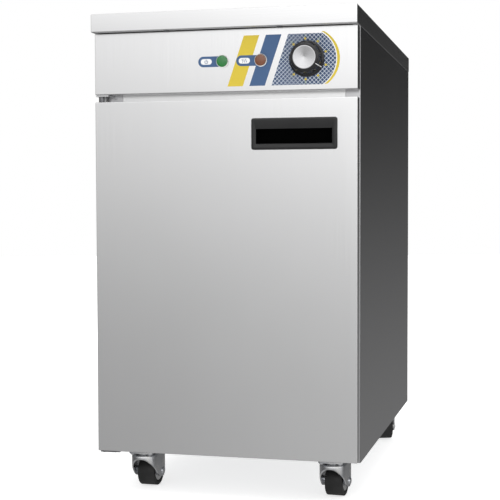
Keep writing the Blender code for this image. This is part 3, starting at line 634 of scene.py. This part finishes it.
def lamp_label(tag, lamp, draw_sign):
    """A blue tab that runs into the lamp, with a white window and a sign in it."""
    centre = middle(lamp)
    half, reach = 8.6 * MM, 33 * MM
    left = (centre.x - reach, centre.z)
    tab = arc_points(left, half, 90, 270, 20)
    tab += [(centre.x, centre.z - half), (centre.x, centre.z + half)]
    film(f"{tag}_label_tab", tab, "blue", 2)
    low = (left[0] - 4.2 * MM, centre.z - 4.6 * MM)
    high = (left[0] + 14.5 * MM, centre.z + 4.6 * MM)
    film(f"{tag}_label_window", rounded_rectangle(low, high, 4.4 * MM), "white_print", 3)
    draw_sign(f"{tag}_label_sign", (low[0] + high[0]) / 2, centre.z)


def stroke(points, width):
    """Outline of a line of that width drawn along points."""
    left, right = [], []
    for i, (x, z) in enumerate(points):
        x0, z0 = points[max(i - 1, 0)]
        x1, z1 = points[min(i + 1, len(points) - 1)]
        length = math.hypot(x1 - x0, z1 - z0)
        nx, nz = -(z1 - z0) / length * width / 2, (x1 - x0) / length * width / 2
        left.append((x + nx, z + nz))
        right.append((x - nx, z - nz))
    return left + right[::-1]


def power_sign(name, x, z):
    """A ring open at the top, with a bar in the opening."""
    ring, width = arc_points((x, z - 0.3 * MM), 2.5 * MM, 125, 415, 24), 0.8 * MM
    film(name + "_ring", stroke(ring, width), "blue", 4)
    film(name + "_bar", stroke([(x, z), (x, z + 3.4 * MM)], width), "blue", 4)


def heat_sign(name, x, z):
    """Three rising waves."""
    for i in range(3):
        base = x + (i - 1) * 3.0 * MM
        wave = [(base + 0.7 * MM * math.sin(2 * math.pi * t / 16), z + (t / 16 - 0.5) * 6 * MM)
                for t in range(17)]
        film(f"{name}_{i + 1}", stroke(wave, 0.75 * MM), "blue", 4)


def lamp(tag, look, slot):
    """Bezel ring and domed lens of an indicator lamp."""
    housing, lens = f"{tag}_lamp_housing", f"{tag}_lamp_lens"
    low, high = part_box(housing)
    centre = middle(housing)
    radius = (high.x - low.x) / 2
    proud = PANEL_FACE - low.y
    place = facing(Vector((centre.x, PANEL_FACE, centre.z)), (0, -1, 0))
    hole = radius - 0.95 * MM
    depth = high.y - PANEL_FACE
    barrel = 8.2 * MM
    bezel = [(hole, -4 * MM), (hole, proud - 0.3 * MM), (hole + 0.2 * MM, proud - 0.05 * MM),
             (hole + 0.4 * MM, proud), (radius - 0.2 * MM, proud - 0.3 * MM),
             (radius, proud - 0.8 * MM), (radius, 0.02 * MM), (barrel, 0.02 * MM),
             (barrel, -depth), (barrel - 1.2 * MM, -depth), (barrel - 1.2 * MM, -4 * MM)]
    bm = bmesh.new()
    turn_into(bm, bezel + bezel[:1], 72)
    drop_caps(bm)
    fit(piece_from(f"{tag}_lamp_bezel", bm, "white", place), "cabinet", "white_plastic", housing)
    tip = PANEL_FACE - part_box(lens)[0].y
    edge = hole - 0.1 * MM
    shoulder = tip - 2.6 * MM
    dome = [(edge * math.cos(a), shoulder + 2.6 * MM * math.sin(a))
            for a in (math.pi / 2 * i / 10 for i in range(10, -1, -1))]
    dome[0] = (AXIS, tip)
    profile = dome + [(edge, -2 * MM), (AXIS, -2 * MM)]
    fit(turned_piece(f"{tag}_lamp_dome", profile, look, place, 72), "cabinet", slot, lens)


def knob():
    """Fluted skirted knob with a spun cap and a white pointer."""
    low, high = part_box("knob_body")
    radius, height = (high.x - low.x) / 2, high.y - low.y
    place = facing(Vector((KNOB.x, high.y, KNOB.z)), (0, -1, 0))
    flutes, depth = 12, 1.5 * MM
    shoulder, brow = 3.4 * MM, height - 3.2 * MM

    def fluted(reach, at, angle):
        """The barrel's radius, scalloped between its skirt and its brow."""
        if reach < 18 * MM:
            return reach
        rise = min(1.0, max(0.0, (at - shoulder) / (1.5 * MM)))
        fall = min(1.0, max(0.0, (height - 0.6 * MM - at) / (3.4 * MM)))
        scallop = abs(math.sin(flutes * angle / 2)) ** 0.7
        return reach - depth * (1 - scallop) * rise * fall

    profile = [(AXIS, 0), (radius - 0.5 * MM, 0), (radius, 0.5 * MM), (radius, 1.9 * MM),
               (radius - 0.4 * MM, 2.6 * MM), (radius - 1.6 * MM, 3.0 * MM),
               (radius - 2.6 * MM, 3.6 * MM), (radius - 3.1 * MM, 5.0 * MM),
               (radius - 3.5 * MM, 8.0 * MM), (radius - 4.1 * MM, 12.0 * MM),
               (radius - 4.8 * MM, brow), (radius - 5.6 * MM, brow + 1.5 * MM),
               (radius - 6.8 * MM, brow + 2.7 * MM), (radius - 7.6 * MM, height),
               (19.1 * MM, height), (18.95 * MM, height - 0.9 * MM), (AXIS, height - 0.9 * MM)]
    bm = bmesh.new()
    turn_into(bm, profile, flutes * 20, None, fluted)
    barrel = piece_from("fluted_knob", bm, "knob_black", place, 60)
    fit(barrel, "knob", "black_plastic", "knob_body")

    cap_low, cap_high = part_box("knob_cap")
    cap_radius = (cap_high.x - cap_low.x) / 2
    thick = high.y - cap_low.y
    cap = [(AXIS, thick - 0.35 * MM), (2.0 * MM, thick - 0.35 * MM), (2.4 * MM, thick - 0.25 * MM),
           (cap_radius - 1.6 * MM, thick - 0.15 * MM), (cap_radius - 0.9 * MM, thick),
           (cap_radius - 0.25 * MM, thick - 0.15 * MM), (cap_radius, thick - 0.5 * MM),
           (cap_radius, height - 0.88 * MM), (AXIS, height - 0.88 * MM)]
    fit(turned_piece("spun_knob_cap", cap, "aluminium", place, 128), "knob", "spun_aluminium",
        "knob_cap")

    pointing, half, thick = -30 * DEGREE, 0.45 * MM, 1.2 * MM
    outward = Vector((math.cos(pointing), 0, math.sin(pointing)))
    sideways = Vector((-math.sin(pointing), 0, math.cos(pointing)))
    centre = Vector((KNOB.x, 0, KNOB.z))
    path = [(radius - 7.5 * MM, height + 0.15 * MM), (radius - 6.6 * MM, brow + 2.9 * MM),
            (radius - 4.6 * MM, brow + 0.2 * MM), (radius - 3.9 * MM, 12 * MM),
            (radius - 3.0 * MM, 5.0 * MM), (radius - 1.5 * MM, 3.25 * MM),
            (radius - 0.5 * MM, 2.75 * MM)]
    rings = []
    for reach, rise in path:
        ring = []
        for side, sink in ((-1, 0), (1, 0), (1, 1), (-1, 1)):
            ring.append(centre + outward * (reach - sink * thick) + sideways * side * half
                        + Vector((0, high.y - rise + sink * thick, 0)))
        rings.append(ring)
    bm = bmesh.new()
    loft_into(bm, rings)
    fit(soften(piece_from("knob_pointer", bm, "white_print"), 0.12 * MM), "knob", "white_plastic")


def control_panel():
    """The printed graphic, the lamps, the knob and two clips under the worktop's front edge."""
    slanted_band("yellow_band", 8 * MM, 26 * MM, "yellow")
    slanted_band("blue_band", 45 * MM, 26 * MM, "blue")
    dial_field()
    dial_marks()
    lamp_label("power", "power_lamp_housing", power_sign)
    lamp_label("heat", "heat_lamp_housing", heat_sign)
    lamp("power", "green", "green_lens")
    lamp("heat", "amber", "amber_lens")
    knob()
    worktop_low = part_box("worktop")[0]
    clips = bmesh.new()
    for x in (-96 * MM, 96 * MM):
        outline = rounded_rectangle((x - 4 * MM, worktop_low.z - 1.6 * MM),
                                    (x + 4 * MM, worktop_low.z - 0.3 * MM), 0.5 * MM, 3)
        prism_into(clips, outline, PANEL_FACE - 3 * MM, PANEL_FACE - 0.1 * MM,
                   lambda u, v, w: Vector((u, w, v)))
    fit(piece_from("worktop_clips", clips, "dark_steel"), "cabinet", "stainless_side")


# ---- door -----------------------------------------------------------------------------------
def handle():
    """Moulded pull: a rounded rim on the door's face, and a pocket behind its mouth."""
    low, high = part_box("handle_cup")
    mouth_low = (low.x + 7.9 * MM, low.z + 9.7 * MM)
    mouth_high = (high.x - 8.8 * MM, high.z - 17.6 * MM)
    pocket_low = (mouth_low[0] - 4 * MM, mouth_low[1] - 4.5 * MM)
    pocket_high = (mouth_high[0] + 4 * MM, mouth_high[1] + 11 * MM)
    face = low.y
    door_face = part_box("door_outer_skin")[0].y

    def ring(lower, upper, radius, y, inset=0.0):
        points = rounded_rectangle((lower[0] + inset, lower[1] + inset),
                                   (upper[0] - inset, upper[1] - inset), radius)
        return [Vector((x, y, z)) for x, z in points]

    outer_low, outer_high = (low.x, low.z), (high.x, high.z)
    brow_high = (high.x - 4.5 * MM, high.z - 3.2 * MM)
    brow_low = (low.x + 4.5 * MM, low.z + 4.0 * MM)
    rings = [ring(outer_low, outer_high, 4 * MM, door_face + 0.3 * MM),
             ring(outer_low, outer_high, 4 * MM, door_face - 0.8 * MM),
             ring(outer_low, outer_high, 4 * MM, face + 2.0 * MM, 0.3 * MM),
             ring(outer_low, outer_high, 3.6 * MM, face + 0.9 * MM, 1.0 * MM),
             ring(outer_low, outer_high, 3.2 * MM, face + 0.25 * MM, 2.0 * MM),
             ring(outer_low, outer_high, 2.8 * MM, face, 3.0 * MM),
             ring(brow_low, brow_high, 1.6 * MM, face),
             ring((mouth_low[0] - 1.0 * MM, mouth_low[1] - 1.0 * MM),
                  (mouth_high[0] + 1.0 * MM, mouth_high[1] + 2.6 * MM), 0.9 * MM, face + 1.4 * MM),
             ring(mouth_low, mouth_high, 0.7 * MM, face + 2.6 * MM)]
    bm = bmesh.new()
    loft_into(bm, rings, capped=False)
    rim = piece_from("handle_rim", bm, "black", sharp=25)
    fit(rim, "door", "black_plastic", "handle_cup")
    back = high.y
    pocket = [ring(mouth_low, mouth_high, 0.7 * MM, face + 2.6 * MM, 0.02 * MM),
              ring(mouth_low, mouth_high, 0.7 * MM, face + 5 * MM, 0.02 * MM),
              ring(pocket_low, pocket_high, 3 * MM, face + 6 * MM),
              ring(pocket_low, pocket_high, 3 * MM, back - 2.5 * MM, 0.8 * MM),
              ring(pocket_low, pocket_high, 2 * MM, back - 1.2 * MM, 2.5 * MM)]
    outside = [ring(pocket_low, pocket_high, 2.4 * MM, back - 0.1 * MM, 1.6 * MM),
               ring(pocket_low, pocket_high, 3.6 * MM, back - 2.0 * MM, -0.6 * MM),
               ring(pocket_low, pocket_high, 3.6 * MM, face + 5.4 * MM, -1.2 * MM),
               ring(mouth_low, mouth_high, 0.9 * MM, face + 3.4 * MM, -1.0 * MM)]
    bm = bmesh.new()
    inner_loops = loft_into(bm, pocket, capped=False)
    bm.faces.new(inner_loops[-1])
    outer_loops = loft_into(bm, outside, capped=False)
    bm.faces.new(outer_loops[0])
    first, last = inner_loops[0], outer_loops[-1]
    for i in range(len(first)):
        following = (i + 1) % len(first)
        bm.faces.new((first[i], first[following], last[following], last[i]))
    # The pocket is coloured darker than the rim, painted shade in the recess.
    fit(piece_from("handle_pocket", bm, "hollow_black", sharp=40), "door", "black_plastic")


# ---- shelves and lamp -------------------------------------------------------------------------
def shelf(node, body):
    """Welded wire shelf: a round-cornered rim, two cross wires and wires from front to back."""
    low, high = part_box(node)
    rim, wire, corner = 2.5 * MM, 1.6 * MM, 16 * MM
    z = low.z + rim
    loop = rounded_rectangle((low.x + rim, low.y + rim), (high.x - rim, high.y - rim), corner, 8)
    bm = bmesh.new()
    wire_into(bm, [(x, y, z) for x, y in loop], rim, closed=True)
    front, back = low.y + 1.2 * rim, high.y - 1.2 * rim
    for share in (0.3, 0.7):
        y = front + (back - front) * share
        wire_into(bm, [(low.x + rim, y, z - 0.3 * MM), (high.x - rim, y, z - 0.3 * MM)], wire)
    count = 12
    for i in range(count):
        x = low.x + (high.x - low.x) * (i + 1) / (count + 1)
        wire_into(bm, [(x, front, z + 0.6 * MM), (x, back, z + 0.6 * MM)], wire)
    fit(piece_from(f"{node}_wires", bm, "wire", sharp=50), body, "zinc_plate", node)


def uv_lamp():
    """Clear quartz tube with pressed metal end caps and a coiled cathode in each end."""
    low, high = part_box("uv_tube")
    centre = middle("uv_tube")
    radius = (high.z - low.z) / 2
    half = (high.x - low.x) / 2
    place = facing(centre, (1, 0, 0))
    cap = 14 * MM
    neck = half - cap + 1 * MM
    wall = 0.9 * MM
    outer = radius - 0.4 * MM
    glass = [(outer, -neck), (outer, neck), (outer - wall, neck), (outer - wall, -neck)]
    bm = bmesh.new()
    turn_into(bm, glass + glass[:1], 48)
    drop_caps(bm)
    fit(piece_from("uv_tube_glass", bm, "quartz", place), "cabinet", "quartz_glass", "uv_tube")
    caps, coils = bmesh.new(), bmesh.new()
    turn_pair(caps, [(AXIS, half - 2 * MM), (radius - 1 * MM, half - 0.3 * MM),
                     (radius, half - 1.2 * MM), (radius, half - cap + 1 * MM),
                     (radius - 0.3 * MM, half - cap), (AXIS, half - cap)], 48)
    for side in (-1, 1):
        coil = [(1.6 * MM * math.cos(t * 0.8), 1.6 * MM * math.sin(t * 0.8),
                 side * (half - cap - 3 * MM) - side * t * 0.12 * MM) for t in range(60)]
        wire_into(coils, coil, 0.35 * MM, sides=6)
    fit(piece_from("uv_tube_caps", caps, "zinc", place), "cabinet", "zinc_plate")
    fit(piece_from("uv_tube_cathodes", coils, "dark_steel", place), "cabinet", "zinc_plate")


# ---- casters ------------------------------------------------------------------------------
def caster_frame(tag):
    """The swivel's place on the floor, X along the axle and Y along the trail, and its sizes."""
    plate = middle(f"caster_{tag}_plate")
    wheel = middle(f"caster_{tag}_wheel")
    trail = Vector((wheel.x - plate.x, wheel.y - plate.y, 0))
    along = trail.normalized()
    across = along.cross(Vector((0, 0, 1)))
    turn = Matrix((across, along, Vector((0, 0, 1)))).transposed().to_4x4()
    return Matrix.Translation((plate.x, plate.y, 0)) @ turn, trail.length, wheel.z


def caster_plate(tag):
    """Top plate with its ball race and four bolts."""
    low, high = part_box(f"caster_{tag}_plate")
    centre = middle(f"caster_{tag}_plate")
    half = (high.x - low.x) / 2
    outline = rounded_rectangle((-half, -half), (half, half), 4 * MM)
    bm = bmesh.new()
    prism_into(bm, outline, high.z - 2.5 * MM, high.z, lambda u, v, w: Vector((u, v, w)))
    race = [(AXIS, high.z - 2.4 * MM), (17 * MM, high.z - 2.4 * MM), (17 * MM, low.z + 1.4 * MM),
            (15.6 * MM, low.z + 0.1 * MM), (AXIS, low.z + 0.1 * MM)]
    turn_into(bm, race, 48)
    for sx in (-1, 1):
        for sy in (-1, 1):
            bolt = Matrix.Translation((sx * (half - 5.5 * MM), sy * (half - 5.5 * MM), 0))
            head = [(AXIS, high.z - 2.4 * MM), (4.4 * MM, high.z - 2.4 * MM),
                    (4.4 * MM, high.z - 4.4 * MM), (3.8 * MM, high.z - 4.9 * MM),
                    (AXIS, high.z - 4.9 * MM)]
            turn_into(bm, head, 6, bolt)
    location = Matrix.Translation((centre.x, centre.y, 0))
    plate = piece_from(f"caster_{tag}_top_plate", bm, "zinc", location)
    fit(soften(plate, 0.25 * MM), "cabinet", "zinc_plate", f"caster_{tag}_plate")


def bend_points(start, knee, end, steps=6):
    """Points along the smooth bend from start to end that turns at the knee."""
    start, knee, end = Vector(start), Vector(knee), Vector(end)
    shares = [i / steps for i in range(steps + 1)]
    return [tuple(start * (1 - t) ** 2 + knee * 2 * t * (1 - t) + end * t ** 2) for t in shares]


def on_axle(place, trail, axle_z):
    """The axle's own frame, with Z along the axle."""
    return place @ Matrix.Translation((0, trail, axle_z)) @ Matrix.Rotation(math.pi / 2, 4, "Y")


def caster_fork(tag, place, trail, axle_z, body):
    """Pressed fork: a round hood over the front of the wheel that runs back into two flat legs."""
    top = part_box(f"caster_{tag}_fork")[1].z
    sheet, reach, boss = 2.0 * MM, 22.0 * MM, 9.5 * MM
    rear = trail + boss
    turns, depth_steps = 24, 6

    def ring(z, inset):
        """Half round at the front and straight-sided to the rear."""
        wide, back = reach - inset, rear - inset
        points = [(wide * math.cos(a), wide * math.sin(a), z)
                  for a in (math.pi + math.pi * i / turns for i in range(turns + 1))]
        points += [(wide, back * i / depth_steps, z) for i in range(1, depth_steps + 1)]
        points += [(-wide, back * i / depth_steps, z) for i in range(depth_steps, 0, -1)]
        return points

    def solid(name, inset, drop, foot):
        bm = bmesh.new()
        high = top - drop
        loft_into(bm, [ring(high, inset + 4.2 * MM), ring(high - 0.5 * MM, inset + 1.8 * MM),
                       ring(high - 1.6 * MM, inset + 0.4 * MM), ring(high - 3.0 * MM, inset),
                       ring(foot, inset)])
        return piece_from(name, bm, "zinc", place)

    fork = solid(f"caster_{tag}_pressed_fork", 0, 0, 8 * MM)
    boolean(fork, solid("inside", sheet, sheet, 3 * MM))
    front_top, rear_top = top - 6.0 * MM, top - 20 * MM
    hood = [(-reach - 6 * MM, top + 5 * MM), (-reach - 6 * MM, front_top)]
    hood += bend_points((-reach + 0.7 * MM, front_top), (-reach + 3.4 * MM, top - 8.0 * MM),
                        (-reach + 7.0 * MM, top - 13.5 * MM))
    hood += bend_points((1.0 * MM, axle_z + 3.5 * MM), (4.5 * MM, axle_z - 1.5 * MM),
                        (12.5 * MM, axle_z - 6.2 * MM))
    hood += arc_points((trail, axle_z), boss, 255, 362, 14)
    hood += [(rear + 0.1 * MM, rear_top), (rear + 6 * MM, rear_top), (rear + 6 * MM, top + 5 * MM)]
    bm = bmesh.new()
    prism_into(bm, hood, -40 * MM, 40 * MM, lambda u, v, w: Vector((w, u, v)))
    boolean(fork, piece_from("flank", bm, "zinc", place), "INTERSECT")
    bm = bmesh.new()
    back_gap = rounded_rectangle((-reach + sheet + 0.2 * MM, -9 * MM),
                                 (reach - sheet - 0.2 * MM, top - 12 * MM), 7 * MM)
    prism_into(bm, back_gap, rear - 6 * MM, rear + 20 * MM, lambda u, v, w: Vector((u, w, v)))
    boolean(fork, piece_from("back_gap", bm, "zinc", place))
    fork.data.materials.clear()
    fork.data.materials.append(LOOKS["zinc"])
    fork.data.shade_smooth()
    fork.data.set_sharp_from_angle(angle=40 * DEGREE)
    fit(fork, body, "zinc_plate", f"caster_{tag}_fork")

    hub_face, high = 16.0 * MM, reach + 2.6 * MM
    collar = 6.4 * MM
    bm = bmesh.new()
    turn_pair(bm, [(AXIS, hub_face), (collar, hub_face), (collar, reach - sheet),
                   (AXIS, reach - sheet)], 40)
    turn_pair(bm, [(AXIS, reach), (collar, reach), (collar, reach + 0.6 * MM),
                   (6.0 * MM, reach + 0.8 * MM), (AXIS, reach + 0.8 * MM)], 40)
    turn_pair(bm, [(AXIS, reach + 0.78 * MM), (5.4 * MM, reach + 0.78 * MM),
                   (5.2 * MM, high - 1.0 * MM), (4.2 * MM, high - 0.3 * MM), (2.4 * MM, high),
                   (AXIS, high)], 32)
    turn_into(bm, [(AXIS, -hub_face - 1 * MM), (3.9 * MM, -hub_face - 1 * MM),
                   (3.9 * MM, hub_face + 1 * MM), (AXIS, hub_face + 1 * MM)], 24)
    axle = piece_from(f"caster_{tag}_axle_bolt", bm, "zinc", on_axle(place, trail, axle_z))
    fit(axle, body, "zinc_plate", f"caster_{tag}_axle")


def caster_wheel(tag, place, trail, axle_z, body):
    """Moulded wheel: a flat tread, dished sides and a pressed cover round each end of its hub."""
    half, bore, radius = 15 * MM, 4.2 * MM, axle_z
    side = [(radius, half - 1.4 * MM), (radius - 0.15 * MM, half - 0.9 * MM),
            (radius - 0.5 * MM, half - 0.35 * MM), (radius - 1.1 * MM, half),
            (19.6 * MM, half), (18.4 * MM, half - 0.5 * MM), (17.4 * MM, half - 2.2 * MM),
            (10.2 * MM, half - 2.6 * MM), (9.2 * MM, half - 0.6 * MM), (8.4 * MM, half + 0.6 * MM),
            (bore, half + 0.6 * MM)]
    outline = [(r, -h) for r, h in reversed(side)] + side
    bm = bmesh.new()
    turn_into(bm, outline + outline[:1], 72)
    drop_caps(bm)
    wheel_place = on_axle(place, trail, axle_z)
    fit(piece_from(f"caster_{tag}_tyre", bm, "tyre", wheel_place, 28), body, "wheel_rubber",
        f"caster_{tag}_wheel")
    bm = bmesh.new()
    cover = [(5 * MM, half - 2.4 * MM), (16.4 * MM, half - 2.0 * MM),
             (16.6 * MM, half - 0.4 * MM), (16.0 * MM, half), (10.6 * MM, half + 0.25 * MM),
             (9.6 * MM, half + 0.8 * MM), (5 * MM, half + 0.8 * MM)]
    turn_pair(bm, cover + cover[:1], 56)
    drop_caps(bm)
    fit(piece_from(f"caster_{tag}_hub_covers", bm, "zinc", wheel_place, 28), body, "zinc_plate")


def casters():
    for tag in ("front_left", "front_right", "rear_left", "rear_right"):
        place, trail, axle_z = caster_frame(tag)
        caster_plate(tag)
        caster_fork(tag, place, trail, axle_z, f"{tag}_swivel")
        caster_wheel(tag, place, trail, axle_z, f"{tag}_roller")


# ---- back -----------------------------------------------------------------------------------
def screw_into(bm, centre, axis, radius):
    """Pan-head screw with a cross recess, its head on the sheet at centre."""
    place = facing(centre, axis)
    rise = 0.62 * radius
    dome = [(radius, 0.0)] + [(radius * math.cos(a), rise * (0.3 + 0.7 * math.sin(a)))
                              for a in (math.pi / 2 * i / 6 for i in range(6))]
    dome.append((AXIS, rise))
    turn_into(bm, dome, 32, place)
    slot, arm = 0.17 * radius, 0.62 * radius
    for quarter in (0, 90):
        turned_place = place @ Matrix.Rotation(quarter * DEGREE, 4, "Z")
        outline = [(-arm, -slot), (arm, -slot), (arm, slot), (-arm, slot)]
        prism_into(bm, outline, rise * 0.8, rise * 1.02,
                   lambda u, v, w, m=turned_place: m @ Vector((u, v, w)))


def back_details():
    """Screws that hold the back panel, and the cable gland with its hexagon nut."""
    low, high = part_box("back_panel")
    bm = bmesh.new()
    inset, margin, rows = 7 * MM, 20 * MM, 5
    for i in range(rows):
        z = low.z + margin + (high.z - low.z - 2 * margin) * i / (rows - 1)
        for x in (low.x + inset, high.x - inset):
            screw_into(bm, Vector((x, high.y, z)), (0, 1, 0), 3.6 * MM)
    fit(piece_from("back_panel_screws", bm, "zinc"), "cabinet", "zinc_plate")

    gland_low, gland_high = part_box("cable_gland")
    centre = middle("cable_gland")
    place = facing(Vector((centre.x, high.y, centre.z)), (0, 1, 0))
    proud = gland_high.y - high.y
    bore, ribs = 4.2 * MM, 24
    bm = bmesh.new()
    turn_into(bm, [(bore, 0.02 * MM), (13 * MM, 0.02 * MM), (13 * MM, 3.6 * MM),
                   (12.2 * MM, 4.4 * MM), (bore, 4.4 * MM), (bore, 0.02 * MM)], 6)
    dome = [(bore, 4.2 * MM), (11 * MM, 4.2 * MM), (11 * MM, proud - 3.4 * MM),
            (9.6 * MM, proud - 1.2 * MM), (6.4 * MM, proud), (4.4 * MM, proud - 0.4 * MM),
            (bore, proud - 1.4 * MM), (bore, 4.2 * MM)]
    turn_into(bm, dome, ribs * 4, None,
              lambda r, h, a: r + (0.25 * MM * math.cos(ribs * a) if r > 9 * MM else 0.0))
    stem = gland_low.y - high.y
    turn_into(bm, [(bore, 0.0), (8 * MM, 0.0), (8 * MM, stem), (bore, stem), (bore, 0.0)], 40)
    drop_caps(bm)
    gland = piece_from("cable_gland_dome", bm, "black", place)
    fit(gland, "cabinet", "black_plastic", "cable_gland")


# ---- stage ----------------------------------------------------------------------------------
def floor():
    """Pale seamless floor that glows with painted light, brighter away from the cabinet."""
    bm = bmesh.new()
    bmesh.ops.create_circle(bm, cap_ends=True, radius=9, segments=96)
    paper = Finish("pale_floor", (0.90, 0.90, 0.90), 0.85)
    LOOKS["floor"] = paper.material
    squares = [paper.math("POWER", axis, 2) for axis in paper.axes(paper.place)[:2]]
    reach = paper.math("SQRT", paper.math("ADD", *squares))
    paper.vary_colour(paper.noise(30), 0.01)
    # Painted light: the floor glows, less near the cabinet and more away from it.
    paper.shader.inputs["Emission Color"].default_value = (1, 1, 1, 1)
    paper.link(paper.ramp(reach, 0.3, 1.2, 0.66, 0.84), paper.shader.inputs["Emission Strength"])
    ground = piece_from("floor", bm, "floor")
    ground.visible_glossy = False


def world_light():
    """Soft studio surroundings: bright ahead and above, grey low down, dark behind."""
    world = bpy.data.worlds.new("studio")
    SCENE.world = world
    world.use_nodes = True
    graph = Graph(world.node_tree)
    background = graph.tree.nodes["Background"]
    background.inputs["Color"].default_value = (1, 1, 1, 1)
    ramp = graph.ramp

    def mix(factor, first, second):
        node = graph.node("ShaderNodeMix")
        graph.link(factor, node.inputs[0])
        for socket, value in ((node.inputs[2], first), (node.inputs[3], second)):
            if isinstance(value, float):
                socket.default_value = value
            else:
                graph.link(value, socket)
        return node.outputs[0]

    x, y, z = graph.axes(graph.node("ShaderNodeTexCoord").outputs["Generated"])
    sideways = graph.math("MULTIPLY", ramp(x, -0.52, -0.08, 0.63, 1.0),
                          ramp(x, -1.0, -0.5, 0.40, 1.0))
    rising = graph.math("ADD", ramp(z, -0.17, 0.22, 0.50, 1.20), ramp(z, 0.05, 0.17, 0.0, 0.27))
    ahead = graph.math("MULTIPLY", rising, sideways)
    behind = mix(ramp(z, 0.40, 0.80, 0.0, 1.0), ramp(z, -0.28, 0.20, 0.22, 0.015), 0.9)
    surround = mix(ramp(y, -0.1, 0.5, 0.0, 1.0), ahead, behind)
    path = graph.node("ShaderNodeLightPath").outputs
    softened = mix(path["Is Diffuse Ray"], surround, 0.62)
    graph.link(mix(path["Is Camera Ray"], softened, 1.0), background.inputs["Strength"])


def area_light(name, place, target, size, power):
    lamp_data = bpy.data.lights.new(name, "AREA")
    lamp_data.shape = "SQUARE"
    lamp_data.size = size
    lamp_data.energy = power
    light = add_object(name, lamp_data)
    light.location = place
    light.rotation_euler = (Vector(target) - Vector(place)).to_track_quat("-Z", "Y").to_euler()
    return light


def lights():
    area_light("overhead_softbox", (0.2, -0.6, 2.6), (0, 0, 0.4), 1.8, 9)
    fill = area_light("rear_fill", (-1.2, 2.6, 2.2), (0, 0.2, 0.4), 1.6, 18)
    fill.visible_glossy = False


def camera():
    """Standing in front and to the right of the cabinet, level with its middle."""
    data = bpy.data.cameras.new("camera")
    data.sensor_width = 36
    data.lens = 74.22
    data.shift_x = -0.1666
    data.clip_end = 60
    tilt_down, turn_left = 2.215, 11.913
    view = add_object("camera", data)
    view.location = (0.5244, -1.90165, 0.4778)
    view.rotation_euler = (math.radians(90 - tilt_down), 0, math.radians(turn_left))
    SCENE.camera = view


dress_cad_nodes()
control_panel()
handle()
shelf("upper_shelf", "upper_rack")
shelf("lower_shelf", "lower_rack")
uv_lamp()
casters()
back_details()
floor()
world_light()
lights()
camera()
SCENE.view_settings.view_transform = "Standard"
